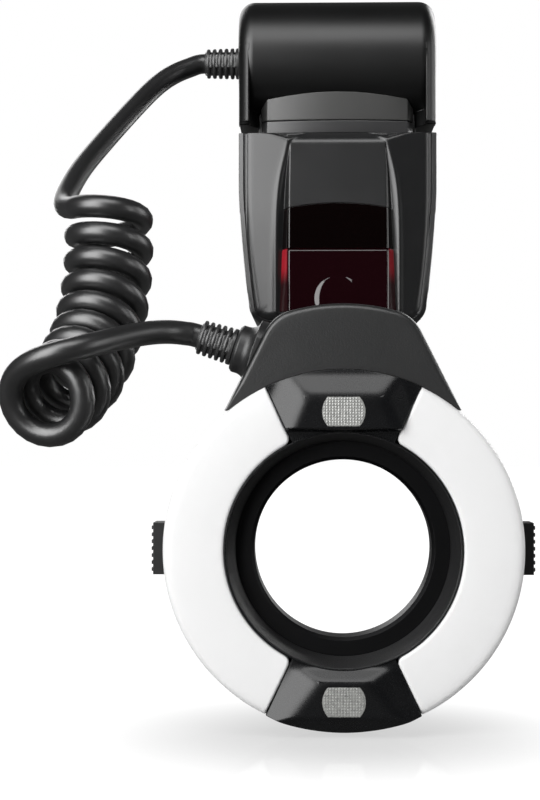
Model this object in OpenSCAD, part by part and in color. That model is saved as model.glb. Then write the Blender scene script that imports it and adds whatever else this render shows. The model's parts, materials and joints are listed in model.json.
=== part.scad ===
// Macro ring flash: a control unit for an accessory shoe, a curled cord and a ring head for a lens.
// Millimetres. +Z up, -Y toward the subject, origin at the centre of the foot's underside.

/* [Control unit] */
// Width of the case
unit_w = 74; // [71:1:80]
// Height of the case from its underside to its shoulder
unit_h = 72; // [70:1:78]
// Depth of the case from its front cover to its back
unit_d = 62; // [60:1:70]
// Wall thickness of the case
wall = 2; // [1.6:0.1:2.3]
// Radius of the round head on top
drum_r = 23; // [21:0.5:25]
// Height of the neck between case and head
neck_h = 17.4; // [16:0.2:20]
// How far the centre strip stands out at its lower end
strip_out = 6.5; // [4:0.5:8]

/* [Ring head] */
// Outside diameter of the ring head
ring_od = 113; // [110:1:120]
// Diameter of the opening at the front
ring_id = 73.5; // [72.5:0.5:75]
// Thickness of the ring head from front to back
ring_t = 26; // [25:0.5:30]
// Height of the neck top above the ring's axis
neck_top = 77; // [74:0.5:82]
// Depth of the ring's axis below the foot
axis_drop = 62.5; // [58:0.5:70]
// Distance of the ring's front ahead of the case's front
ring_reach = 99; // [96:0.5:104]
// Diameter of the lens thread
thread_d = 58; // [55:1:58]

/* [Cord] */
// Diameter of the cable
cable_d = 7.6; // [6.2:0.2:7.8]
// Mean radius of the curls
curl_r = 11.3; // [10.5:0.1:12]
// Number of curls
curls = 9; // [7:1:9]

/* [Clearances] */
// Gap round a pressed or sliding control
key_gap = 0.3; // [0.2:0.05:0.4]
// Gap along a seam between two mouldings
seam = 0.15; // [0.1:0.05:0.25]
// Gap between pieces that turn or slide on each other
run_gap = 0.3; // [0.25:0.05:0.4]

/* [Hidden] */
$fn = 64;
arc_fn = 96;
eps = 0.01;

// Case levels
case_bottom = 14;
case_top = case_bottom + unit_h;
case_front = -28;
case_back = case_front + unit_d;
side_bow = 470;
bow_start = 0.4;
bow_steps = 8;
corner_r = 8;
front_corner = 5;
back_corner = 8;
flat_half = 20.5;
cheek_back = 1.4;
seam_x = unit_w / 2 - 3.6;
seam_y = case_front + 7;

// Centre strip and its windows
strip_half = 0.242 * unit_w;
strip_top = case_top - 2.5;
strip_top_out = 0.9;
strip_low = case_bottom + 5;
strip_span = strip_top - strip_low;
strip_slope = 0.6;
strip_spread = strip_slope * (strip_out - strip_top_out) / strip_span;
sensor_top = strip_low + 0.625 * strip_span;
sensor_low = strip_low + 0.36 * strip_span;
arch_r = 96;
valley_r = 4;
valley_lean = 3.2;
valley_tilt = atan(1.2 / unit_h);
window_wall = 1.6;
cover_hole_half = 15.5;

// Main board behind the back panel
panel_in = case_back - wall;
board_t = 1.6;
board_y = panel_in - 7.5;

// Battery door with its hinge, and the bay above the hinge
door_low = case_bottom + 4.3;
door_top = case_top - 6;
knuckle_r = 2.2;
door_pin_r = 1;
pin_fit = 0.05;
hinge_z = door_low + knuckle_r;
hinge_x = -(side_x(hinge_z) - knuckle_r);
lug_w = 3.5;
cell_d = 14.3;
cell_l = 50;
cell_gap = 0.3;
cell_nub = 1;
bay_wall = 1.2;
bay_half = cell_d + 1.5 * cell_gap;
bay_low = hinge_z + knuckle_r + run_gap;
bay_z = bay_low + bay_half + bay_wall;
bay_y = board_y - bay_half - bay_wall - 2.5;
bay_x0 = -(side_x(bay_low) - wall - 0.8);
rail_half = 20;
rail_spread = 10;
door_y0 = bay_y - bay_half - bay_wall;
door_y1 = bay_y + bay_half + bay_wall;

// Back panel
key_out = 1.2;
key_travel = 0.8;
key_flange = 1;
key_row = case_bottom + 0.444 * unit_h;
dial_row = case_bottom + 0.306 * unit_h;
low_row = case_bottom + 0.153 * unit_h;
key_pitch = 17;
key_w = 11;
key_h = 5;
round_r = 0.058 * unit_h;
switch_travel = 6;
switch_x = 11;
lcd_low = case_bottom + 0.528 * unit_h;
lcd_w = unit_w - 26;
lcd_h = 0.368 * unit_h;
lcd_step = 2;

// Head
drum_half = unit_w / 2 + 0.3;
drum_fillet = 3.5;
drum_wall = 2.4;
drum_y = -2;
drum_z = case_top + neck_h + 0.6 * drum_r;
drum_split = drum_y + 9;
cheek_in = unit_w / 2 - 7;
cheek_low = case_top + 4.3;
cheek_half = 0.85 * drum_r;
neck_half = cheek_in - 1.4;
neck_front = case_front + 8;
neck_back = 20;
neck_bow = 150;
collar_h = 5.8;
shadow_h = 1.1;
wire_r = 6;

// Foot
foot_w = 18.5;
foot_l = 17.8;
foot_t = 2;
foot_neck_w = 12.2;
foot_neck_l = 14;
stem_r = 9.5;
stem_low = 5.2;
lock_r = 14.5;
lock_h = 4.3;
lock_teeth = 30;
plate_r = 13.2;
plate_t = 0.9;
pedestal_z = 9.8;
pin_y = -5;
pin_r = 1;
contact_r = 0.8;
contact_out = 0.7;
contact_top = 3.4;
block_t = 1.6;

// Ring head, in its own frame: x right, y up, z toward the subject, 0 at the diffusers' front
ring_y = case_front - ring_reach;
ring_z = -axis_drop;
ring_r = ring_od / 2;
hole_r = ring_id / 2;
bridge_a = 25.4;
shell_wall = 2;
back_z = -ring_t;
split_z = -9;
glow_t = 4.6;
lip_z = -11.5;
lip_r = hole_r - 2.6;
inner_rim = hole_r + 0.6;
bore_r = hole_r + 0.15;
bore_wall = 1.7;
face_z = -1.4;
boss_z = 2.5;
boss_slope = 0.42;
lamp_r = 6.75;
lamp_half = 4.6;
lamp_t = 3;
top_lamp_y = hole_r + 6.5;
low_lamp_y = -(hole_r + 9.6);
channel_r = (hole_r + ring_r) / 2 + 0.4;
channel_half = (ring_r - hole_r) / 2 - 2.7;
channel_z = -glow_t - 0.8;
reflector_a = 180 - 2 * bridge_a - 6;
reflector_skin = 0.8;
tube_r = 1.9;
tube_z = channel_z - 3.6;
neck_low_y = 43.8;
neck_low_x = 37.2;
neck_hi_y = neck_top - 4.6;
neck_hi_x = 22.7;
neck_crown_x = 18;
neck_face_z = -2.6;
neck_back_z = -ring_t + 2;
neck_split_z = -13;

// Release sliders and adapter
arm_r = bore_r + bore_wall + 5.05;
arm_w = 4;
arm_t = 2.8;
arm_z = back_z + shell_wall + run_gap;
button_out = 3.7;
button_half = 8.2;
button_z0 = back_z + 4;
button_z1 = split_z - 1.2;
hook_in = 1.2;
hook_y0 = 0.6;
hook_y1 = 6;
flange_r = bore_r - 0.7;
flange_z1 = lip_z - run_gap;
flange_z0 = flange_z1 - 3.4;
thread_r = thread_d / 2;
thread_in = 0.8;
thread_l = 3.6;
shoulder_z = flange_z0 - 4.6;
shoulder_r = thread_r + 2;

// Cord gland on the neck and its strain relief
gland_a = 17.4;
gland_x = -26.5;
gland_y = neck_top - 15.6;
gland_z = -13;
gland_l = 8.2;
gland_r = 7.7;
gland_flare = 3.2;
gland_edge = 0.9;
relief_l = 12;
relief_r = 5.9;
relief_taper = 0.08;
relief_end_r = cable_d / 2 + 0.95;
relief_root_r = 3.6;
relief_ribs = 6;
cable_in = 6;
upper_relief_l = 13.5;

// Ends of the strain reliefs, where the cable starts
upper_end = [-drum_half - upper_relief_l + cable_in, drum_y, drum_z];
gland_dir = [-cos(gland_a), 0, sin(gland_a)];
lower_root = [gland_x, ring_y - gland_z, ring_z + gland_y];
lower_end = lower_root + (gland_l + relief_l - cable_in) * gland_dir;

// Line that the curls wind round, from the upper lead to the mouth
curl_line = [[-78.5, -86, 50], [-78, -87, 40], [-78, -89, 30.2], [-78.5, -92.3, 20.6], [-79.5, -97, 11.6],
    [-81, -103, 3.3], [-83.2, -110.3, -3.8], [-86, -118.5, -9.6], [-89.5, -127.3, -14], [-93.5, -136.5, -17]];
curl_rings = 8;
curl_start = 165;
curl_extra = 0.125;
upper_route = [[-65.4, -9.5, 110.6], [-73.2, -20.5, 100.0], [-81.2, -36.0, 86.6], [-87.0, -48.5, 76.0], [-91.4, -60.5, 66.9],
    [-93.8, -71.0, 58.3]];
lower_route = [[-83.1, -144.0, -1.1], [-72.4, -135.5, 2.5], [-63.0, -125.0, 5.2], [-55.5, -117.2, 6.4]];
lead_ease = 4;
lead_sides = 8;
curl_sides = 6;

// Plane outlines

function arc(c, r, a0, a1, n) =
    [for (k = [0:n]) c + r * [cos(a0 + (a1 - a0) * k / n), sin(a0 + (a1 - a0) * k / n)]];
function flip_x(p) = [for (k = [len(p) - 1:-1:0]) [-p[k][0], p[k][1]]];
function both(p) = concat(p, flip_x(p));
function side_x(z) = unit_w / 2 + bow_start - pow(case_top - z, 2) / (2 * side_bow);
function front_half(i) = concat(
    [for (k = [0:bow_steps])
        let (z = case_top - i - k * (unit_h - corner_r - i) / bow_steps) [side_x(z) - i, z]],
    arc([side_x(case_bottom + corner_r) - corner_r, case_bottom + corner_r], corner_r - i, -15, -90, 5));
function cheek_y(x) =
    case_front + cheek_back * pow((x - flat_half) / (unit_w / 2 - front_corner - flat_half), 2);
function plan_half(i) = concat(
    [for (k = [0:4])
        let (x = flat_half + k * (unit_w / 2 - front_corner - flat_half) / 4) [x, cheek_y(x) + i]],
    arc([unit_w / 2 - front_corner, case_front + cheek_back + front_corner], front_corner - i, -72, 0, 4),
    arc([unit_w / 2 - back_corner, case_back - back_corner], back_corner - i, 0, 90, 5));
function case_side(i) = concat(
    arc([case_front + 5, case_bottom + 5], 5 - i, 180, 270, 4),
    arc([case_back - 6, case_bottom + 6], 6 - i, 270, 360, 4),
    arc([case_back - 4, case_top - 4], 4 - i, 0, 90, 4),
    arc([case_front + 3, case_top - 3], 3 - i, 90, 180, 3));
function strip_y(z) =
    case_front - strip_top_out - (strip_out - strip_top_out) * pow((strip_top - z) / strip_span, 1.3);
function neck_half_outline() = concat(
    [[neck_low_x, neck_low_y]],
    arc([neck_hi_x - 5.6, neck_hi_y - 3.2], 6, 27, 78, 4),
    [[neck_crown_x * 0.5, neck_top - 0.4]]);

module along_x(l) { rotate([90, 0, 90]) linear_extrude(height = l, center = true) children(); }
module along_y(l) { rotate([90, 0, 0]) linear_extrude(height = l, center = true) children(); }
module rounded(w, h, r) {
    square([w - 2 * r, h], center = true);
    square([w, h - 2 * r], center = true);
    for (sx = [-1, 1], sy = [-1, 1])
        translate([sx * (w / 2 - r), sy * (h / 2 - r)])
            circle(r);
}
module box(lo, hi) { translate(lo) cube(hi - lo); }
module at_back(x, z, y) { translate([x, y, z]) rotate([90, 0, 0]) children(); }

// Control unit case

module case_solid(i) {
    intersection() {
        along_y(300) polygon(both(front_half(i)));
        linear_extrude(height = 300, center = true) polygon(both(plan_half(i)));
        along_x(300) polygon(case_side(i));
    }
}
module cover_zone(g) {
    box([-seam_x - g, case_front - 20, 0], [seam_x + g, seam_y + g, case_top + 20]);
}
// What lies outside the strip's sloping side, i inside its face
module beside_strip(i) {
    lean = atan2(strip_spread, norm([1, strip_slope]));
    for (m = [0, 1])
        mirror([m, 0, 0])
            translate([strip_half - i, case_front - strip_top_out, strip_top])
                rotate([0, -lean, -atan(strip_slope)])
                    translate([0, -60, -120])
                        cube([60, 120, 200]);
}
module strip_prism(i) {
    difference() {
        along_x(200)
            polygon(concat(
                [for (k = [0:7]) let (z = strip_top - i - k * (strip_span - 2 * i) / 7) [strip_y(z) + i, z]],
                [[case_front - 1.5 + i, strip_low - 2.5 + i], [case_front + 1, strip_low - 2.5 + i],
                    [case_front + 1, strip_top - i]]));
        beside_strip(i);
    }
}
// Hollows beside the strip, deeper toward the bottom
module valleys() {
    for (m = [0, 1])
        mirror([m, 0, 0])
            translate([strip_half + valley_r / 2, case_front - valley_r, case_top - 4])
                rotate([-valley_tilt, -valley_lean, 0])
                    translate([0, 0, -unit_h])
                        cylinder(r = valley_r, h = unit_h + 20);
}
module arch_zone(low, high, g) {
    along_y(300)
        intersection() {
            translate([-40, low])
                square([80, high - low + 4]);
            translate([0, high - arch_r + g])
                circle(arch_r, $fn = arc_fn);
        }
}

module front_cover() {
    color("#2b2b2d")
    difference() {
        union() {
            intersection() {
                difference() {
                    case_solid(0);
                    case_solid(wall);
                    valleys();
                }
                cover_zone(0);
            }
            difference() {
                intersection() {
                    strip_prism(0);
                    box([-40, case_front - 20, sensor_low], [40, case_front + 0.5, case_top]);
                }
                arch_zone(case_bottom - 10, sensor_top, seam);
            }
        }
        box([-cover_hole_half, case_front - 20, strip_low + 1.5],
            [cover_hole_half, case_front + wall + 1, sensor_top - 4]);
    }
}

module window_shell() {
    difference() {
        strip_prism(0);
        strip_prism(window_wall);
        box([-40, case_front, 0], [40, case_front + 5, case_top]);
    }
}

module sensor_window() {
    color("#101012")
    intersection() {
        window_shell();
        arch_zone(sensor_low + seam, sensor_top, 0);
    }
}

module af_window() {
    color("#4a0608")
    intersection() {
        window_shell();
        box([-40, case_front - 20, 0], [40, case_front + 5, sensor_low]);
    }
}

module af_emitter() {
    plate_y = case_front + wall;
    color("#701014")
    union() {
        box([-17.5, plate_y, strip_low], [17.5, plate_y + 1.6, sensor_low + 4]);
        for (s = [-1, 1])
            translate([s * 6.6, plate_y + eps, strip_low + 12])
                intersection() {
                    rotate([90, 0, 0])
                        cylinder(r = 5.6, h = 5.4);
                    translate([0, 4.6, 0])
                        sphere(9.8);
                }
    }
}

module door_zone(g, low) {
    box([-unit_w, door_y0 - g, low], [-10, door_y1 + g, door_top + g]);
}

module panel_key_hole(x, z, r) {
    at_back(x, z, case_back + 5) cylinder(r = r + key_gap, h = 15);
}
module bar_hole(x, z, w, h, g) {
    at_back(x, z, case_back + 5)
        linear_extrude(height = 15)
            rounded(w + 2 * g, h + 2 * g, 1.2);
}

module screw_spots() {
    for (sx = [-1, 1], sy = [case_front + 13, case_back - 8])
        translate([sx * 19, sy, case_bottom])
            children();
}

module rear_shell() {
    color("#262628")
    difference() {
        union() {
            difference() {
                case_solid(0);
                case_solid(wall);
                cover_zone(seam);
            }
            // lugs that carry the door's hinge pin
            intersection() {
                case_solid(wall / 2);
                for (y = [door_y0 - key_gap - lug_w, door_y1 + key_gap])
                    box([hinge_x - 3, y, door_low - 1.5], [hinge_x + 3.5, y + lug_w, hinge_z + 4]);
            }
            screw_spots()
                cylinder(r = 3.4, h = 5.5);
            // rails under the battery box
            for (s = [-1, 1])
                box([-rail_half, bay_y + s * rail_spread - 1, case_bottom + wall / 2],
                    [rail_half, bay_y + s * rail_spread + 1, bay_low - 0.1]);
        }
        // battery opening, hinge bore and wire way
        difference() {
            door_zone(key_gap, door_low - key_gap);
            box([-unit_w / 2 + 8, -100, 0], [0, 100, case_top]);
        }
        translate([hinge_x, door_y0 - 30, hinge_z])
            rotate([-90, 0, 0])
                cylinder(r = door_pin_r + pin_fit, h = 90);
        translate([0, 0, case_top - 10])
            cylinder(r = wire_r, h = 20);
        // display opening with its step
        bar_hole(0, lcd_low + lcd_h / 2, lcd_w - 2 * lcd_step, lcd_h - 2 * lcd_step, 0);
        box([-lcd_w / 2, case_back - 1.5, lcd_low], [lcd_w / 2, case_back + 5, lcd_low + lcd_h]);
        // keys
        for (s = [-1, 0, 1]) {
            bar_hole(s * key_pitch, key_row, key_w, key_h, key_gap);
            panel_key_hole(s * key_pitch, dial_row, round_r);
        }
        panel_key_hole(-key_pitch, low_row, round_r);
        panel_key_hole(0, low_row, 1.5 - key_gap + seam);
        bar_hole(switch_x + switch_travel / 2, low_row, 6.5 + switch_travel, 4.2, key_gap);
        screw_spots() {
            translate([0, 0, -1])
                cylinder(r = 2.4, h = 2.7);
            cylinder(r = 1.2, h = 7);
        }
    }
}

module case_screws() {
    color("#3a3a3c")
    screw_spots() {
        difference() {
            translate([0, 0, 0.3])
                cylinder(r = 2.1, h = 1.3);
            translate([0, 0, 0.2])
                for (a = [0, 90])
                    rotate([0, 0, a])
                        cube([2.6, 0.5, 1.2], center = true);
        }
        translate([0, 0, 1.6 - eps])
            cylinder(r = 1.1, h = 3.5);
    }
}

module battery_door() {
    color("#232325")
    difference() {
        union() {
            intersection() {
                difference() {
                    case_solid(0);
                    case_solid(wall);
                }
                door_zone(0, hinge_z);
                box([-unit_w, -100, 0], [-unit_w / 2 + 8, 100, case_top]);
            }
            translate([hinge_x, door_y0, hinge_z])
                rotate([-90, 0, 0])
                    cylinder(r = knuckle_r, h = door_y1 - door_y0);
            // thumb ribs near the top
            for (k = [0:4])
                translate([-side_x(door_top - 4 - 2 * k) + 0.5, (door_y0 + door_y1) / 2, door_top - 4 - 2 * k])
                    cube([2.2, 20, 0.9], center = true);
        }
        translate([hinge_x, door_y0 - 30, hinge_z])
            rotate([-90, 0, 0])
                cylinder(r = door_pin_r + pin_fit, h = 90);
    }
}

module door_pin() {
    color("#b0b0b4")
    translate([hinge_x, door_y0 - key_gap - lug_w + 0.5, hinge_z])
        rotate([-90, 0, 0])
            cylinder(r = door_pin_r, h = door_y1 - door_y0 + 2 * (key_gap + lug_w) - 1);
}

module battery_box() {
    half = bay_half + bay_wall;
    color("#39393c")
    difference() {
        box([bay_x0, bay_y - half, bay_z - half], [bay_x0 + cell_l + 2.5, bay_y + half, bay_z + half]);
        box([bay_x0 - 1, bay_y - bay_half, bay_z - bay_half],
            [bay_x0 + cell_l + 1, bay_y + bay_half, bay_z + bay_half]);
    }
}

module aa_cells() {
    offset_yz = (cell_d + cell_gap) / 2;
    color("#c8b070")
    for (sy = [-1, 1], sz = [-1, 1])
        translate([bay_x0 + 0.4, bay_y + sy * offset_yz, bay_z + sz * offset_yz])
            rotate([0, 90, 0]) {
                cylinder(d = cell_d, h = cell_l - cell_nub);
                translate([0, 0, cell_l - cell_nub - eps])
                    cylinder(r = 2.7, h = cell_nub);
            }
}

module main_board() {
    half = unit_w / 2 - 10;
    color("#1d4a2a")
    box([-half, board_y, case_bottom + 6], [half, board_y + board_t, case_top - 5]);
}

module key_spots() {
    for (s = [-1, 0, 1]) {
        at_back(s * key_pitch, key_row, 0) children();
        at_back(s * key_pitch, dial_row, 0) children();
    }
    at_back(-key_pitch, low_row, 0) children();
}

module key_switches() {
    rise = panel_in - 0.3 - key_flange - 1 - key_travel - 0.2 - board_y - board_t;
    color("#8a8a90")
    key_spots() {
        translate([0, 0, -board_y - board_t - rise + 0.8])
            linear_extrude(height = rise - 0.8)
                square(6, center = true);
        translate([0, 0, -board_y - board_t - rise])
            cylinder(r = 1.6, h = 1);
    }
}

module lcd_module() {
    color("#5c6650")
    box([-lcd_w / 2 + 1, board_y + board_t, lcd_low + 0.5],
        [lcd_w / 2 - 1, panel_in - 1.2, lcd_low + lcd_h - 0.5]);
}

module lcd_window() {
    color("#8c9698")
    at_back(0, lcd_low + lcd_h / 2, case_back + 0.2)
        linear_extrude(height = 1.6)
            square([lcd_w - 2 * seam, lcd_h - 2 * seam], center = true);
}

module bar_key(x, z) {
    at_back(x, z, case_back + key_out)
        linear_extrude(height = key_out + wall + 0.4)
            rounded(key_w, key_h, 1.2);
    at_back(x, z, panel_in - run_gap)
        linear_extrude(height = key_flange + 1)
            square([key_w + 2, key_h + 2], center = true);
}
module round_key(x, z) {
    at_back(x, z, case_back + key_out)
        cylinder(r = round_r, h = key_out + wall + 0.4);
    at_back(x, z, panel_in - run_gap)
        cylinder(r = round_r + 1, h = key_flange + 1);
}

module mode_button() { color("#4a4a4e") bar_key(-key_pitch, key_row); }
module ratio_button() { color("#4a4a4e") bar_key(0, key_row); }
module lamp_button() { color("#4a4a4e") bar_key(key_pitch, key_row); }
module minus_button() { color("#4a4a4e") round_key(-key_pitch, dial_row); }
module select_button() { color("#4a4a4e") round_key(0, dial_row); }
module plus_button() { color("#4a4a4e") round_key(key_pitch, dial_row); }
module pilot_button() { color("#8a2a20") round_key(-key_pitch, low_row); }

module confirm_lamp() {
    color("#3a7a40")
    union() {
        at_back(0, low_row, case_back + 0.4)
            cylinder(r = 1.5, h = wall + 0.8);
        at_back(0, low_row, panel_in)
            cylinder(r = 2.2, h = 1);
        at_back(0, low_row, panel_in - 1 + eps)
            cylinder(r = 1.4, h = panel_in - 1 - board_y - board_t);
    }
}

module power_switch() {
    color("#3c3c40")
    difference() {
        union() {
            at_back(switch_x, low_row, case_back + 1.4)
                linear_extrude(height = 1.8 + wall)
                    rounded(6.5, 4.2, 1.2);
            at_back(switch_x, low_row, panel_in - run_gap)
                linear_extrude(height = 1.2)
                    square([11, 8], center = true);
        }
        for (k = [-1, 0, 1])
            at_back(switch_x + 1.6 * k, low_row, case_back + 2)
                translate([0, 0, 0.6])
                    cube([0.6, 6, 1], center = true);
    }
}

// Neck and head of the control unit

function neck_plan(i) = concat(
    [for (k = [0:4]) let (x = neck_half * k / 4 * 0.93) [x, neck_front + x * x / (2 * neck_bow) + i]],
    [[neck_half - i, neck_front + 6], [neck_half - i, neck_back - 5], [neck_half - 5 - i, neck_back - i]]);

module neck_plate(z0, z1, i) {
    translate([0, 0, z0])
        linear_extrude(height = z1 - z0)
            polygon(both(neck_plan(i)));
}

module neck_collar() {
    color("#2c2c2e")
    difference() {
        union() {
            neck_plate(case_top, case_top + shadow_h + eps, 1);
            neck_plate(case_top + shadow_h, case_top + collar_h, 0);
        }
        translate([0, 0, case_top - 1])
            cylinder(r = wire_r, h = 20);
    }
}

module neck_saddle() {
    color("#3a3a3d")
    difference() {
        neck_plate(case_top + collar_h + seam, drum_z - 0.45 * drum_r, -0.2);
        translate([0, drum_y, drum_z])
            rotate([0, 90, 0])
                cylinder(r = drum_r + seam, h = 200, center = true);
        cylinder(r = wire_r, h = 300);
    }
}

module drum_shape(r, half, f) {
    translate([0, drum_y, drum_z])
        rotate([0, 90, 0])
            rotate_extrude($fn = arc_fn) {
                translate([0, -half])
                    square([r - f, 2 * half]);
                translate([0, -half + f])
                    square([r, 2 * (half - f)]);
                for (s = [-1, 1])
                    translate([r - f, s * (half - f)])
                        circle(f, $fn = 48);
            }
}

module head_shell() {
    difference() {
        union() {
            drum_shape(drum_r, drum_half, drum_fillet);
            for (s = [-1, 1])
                translate([s * (cheek_in + drum_half - 0.4) / 2, 0, 0])
                    along_x(drum_half - 0.4 - cheek_in)
                        translate([drum_y, (cheek_low + drum_z) / 2])
                            rounded(2 * cheek_half, drum_z - cheek_low, 3);
        }
        translate([0, drum_y, drum_z])
            rotate([0, 90, 0])
                cylinder(r = drum_r - drum_wall, h = 2 * (drum_half - drum_wall), center = true);
        translate([0, 0, cheek_low])
            cylinder(r = wire_r, h = drum_z - cheek_low);
        translate([-drum_half - 5, drum_y, drum_z])
            rotate([0, 90, 0])
                cylinder(r = 4.2, h = 12);
    }
}

module head_front_shell() {
    color("#242426")
    union() {
        intersection() {
            head_shell();
            box([-100, -100, 0], [100, drum_split, 300]);
        }
        // cradles for the capacitor
        intersection() {
            for (s = [-1, 1])
                translate([s * 18, drum_y, drum_z])
                    rotate([0, 90, 0])
                        difference() {
                            cylinder(r = drum_r - drum_wall / 2, h = 2, center = true);
                            cylinder(r = 0.68 * drum_r + run_gap, h = 3, center = true);
                        }
            box([-100, -100, 0], [100, drum_split - 4, 300]);
        }
    }
}

module head_rear_shell() {
    color("#242426")
    intersection() {
        head_shell();
        box([-100, drum_split + seam, 0], [100, 100, 300]);
    }
}

module main_capacitor() {
    color("#1a2a5a")
    translate([0, drum_y, drum_z])
        rotate([0, 90, 0])
            cylinder(r = 0.68 * drum_r, h = 1.45 * unit_w / 2, center = true);
}

// A ribbed sleeve along +Z, its root at 0, with a seat for the cable in its far end
module relief(l, root) {
    pitch = (l - 2) / relief_ribs;
    seat = l - cable_in - seam;
    seat_r = cable_d / 2 + seam;
    rotate_extrude($fn = 48)
        difference() {
            union() {
                square([relief_end_r, l]);
                square([relief_r, 1.6]);
                if (root > 0)
                    translate([0, -root])
                        square([relief_root_r, root + 1]);
                for (k = [0:relief_ribs - 1])
                    translate([0, 2.2 + k * pitch])
                        square([relief_r - relief_taper * k, 0.62 * pitch]);
            }
            translate([0, seat])
                square([seat_r, cable_in + 1]);
        }
}

module upper_strain_relief() {
    color("#1c1c1e")
    translate([-drum_half, drum_y, drum_z])
        rotate([0, -90, 0])
            relief(upper_relief_l, drum_wall + 1);
}

// Foot

module foot_pedestal() {
    color("#1e1e20")
    difference() {
        translate([0, 3, pedestal_z])
            linear_extrude(height = case_bottom - pedestal_z)
                rounded(30, 36, 5);
        translate([0, pin_y, 0])
            cylinder(r = pin_r + run_gap, h = pedestal_z + 2.5);
    }
}

module foot_bores() {
    translate([0, pin_y, -5])
        cylinder(r = pin_r + 0.15, h = 30);
    contact_spots()
        translate([0, 0, -5])
            cylinder(r = contact_r + 0.15, h = 5 + contact_top + contact_out + 0.4);
}
module contact_spots() {
    translate([0, 2.4, 0]) children();
    for (sx = [-1, 1], y = [0.2, 5.6])
        translate([sx * 3.4, y, 0])
            children();
}

module foot_plate() {
    color("#b9bbbe")
    difference() {
        union() {
            linear_extrude(height = foot_t)
                rounded(foot_w, foot_l, 1.2);
            translate([0, 0, foot_t - eps])
                linear_extrude(height = stem_low - foot_t + 2 * eps)
                    square([foot_neck_w, foot_neck_l], center = true);
            translate([0, 0, stem_low])
                cylinder(r = stem_r, h = pedestal_z - stem_low);
        }
        box([-5, -2, -1], [5, 7.6, block_t]);
        foot_bores();
    }
}

module contact_block() {
    color("#141416")
    difference() {
        box([-5 + seam, -2 + seam, 0.1], [5 - seam, 7.6 - seam, block_t]);
        foot_bores();
    }
}

module contact_pins() {
    color("#d8b860")
    contact_spots()
        translate([0, 0, -contact_out])
            cylinder(r = contact_r, h = contact_top + contact_out);
}

module lock_ring() {
    low = pedestal_z - run_gap - lock_h;
    color("#2a2a2c")
    difference() {
        translate([0, 0, low])
            linear_extrude(height = lock_h)
                polygon([for (k = [0:2 * lock_teeth - 1])
                    let (r = k % 2 == 0 ? lock_r : lock_r - 0.8, a = 180 * k / lock_teeth) r * [cos(a), sin(a)]]);
        translate([0, 0, low - 1])
            cylinder(r = stem_r + run_gap, h = lock_h + 2);
    }
}

module lock_plate() {
    high = pedestal_z - 2 * run_gap - lock_h;
    color("#8e9094")
    difference() {
        translate([0, 0, high - plate_t])
            cylinder(r = plate_r, h = plate_t);
        translate([0, 0, high])
            cube([foot_neck_w + 0.6, foot_neck_l + 0.6, 10], center = true);
    }
}

module lock_pin() {
    color("#c4c6c8")
    translate([0, pin_y, 0.4])
        cylinder(r = pin_r, h = pedestal_z + 1.6);
}

// Ring head

module ring_frame() {
    translate([0, ring_y, ring_z])
        rotate([90, 0, 0])
            children();
}

module tube_ring(r0, r1, z0, z1) {
    translate([0, 0, z0])
        difference() {
            cylinder(r = r1, h = z1 - z0, $fn = arc_fn);
            translate([0, 0, -1])
                cylinder(r = r0, h = z1 - z0 + 2, $fn = arc_fn);
        }
}

// Wedge of a disc round the axis, from a0 to a1 degrees
module wedge(a0, a1, z0, z1) {
    reach = 90;
    mid = (a0 + a1) / 2;
    translate([0, 0, z0])
        linear_extrude(height = z1 - z0)
            polygon([[0, 0], reach * [cos(a0), sin(a0)], 1.5 * reach * [cos(mid), sin(mid)],
                reach * [cos(a1), sin(a1)]]);
}

module neck_prism(i, z0, z1) {
    h = neck_half_outline();
    translate([0, 0, z0])
        linear_extrude(height = z1 - z0)
            polygon(concat(
                [[h[0][0] - 1.4 * i, h[0][1] - 2]],
                [for (k = [1:len(h) - 1]) [h[k][0] - (k == len(h) - 1 ? 0 : i), h[k][1] - i]],
                flip_x([for (k = [1:len(h) - 1]) [h[k][0] - (k == len(h) - 1 ? 0 : i), h[k][1] - i]]),
                [[-h[0][0] + 1.4 * i, h[0][1] - 2]]));
}

module gland_place() {
    translate([gland_x, gland_y, gland_z])
        rotate([0, 0, 180 - gland_a])
            rotate([0, 90, 0])
                children();
}

module ring_screw_spots() {
    for (a = [35, 145, 215, 270, 325])
        rotate([0, 0, a])
            translate([ring_r - 4.4, 0, back_z])
                children();
}

module slider_slots(g) {
    // openings in the outer wall for the two buttons, and in the bore for the two hooks
    for (s = [-1, 1])
        rotate([0, 0, s > 0 ? 0 : 180]) {
            box([ring_r - 6, -button_half - g, button_z0 - g], [ring_r + 20, button_half + g, button_z1 + g]);
            box([bore_r - 6, 0, arm_z - 0.1], [arm_r + 2, hook_y1 + 1 + g, flange_z0 + 0.4]);
        }
}

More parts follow.
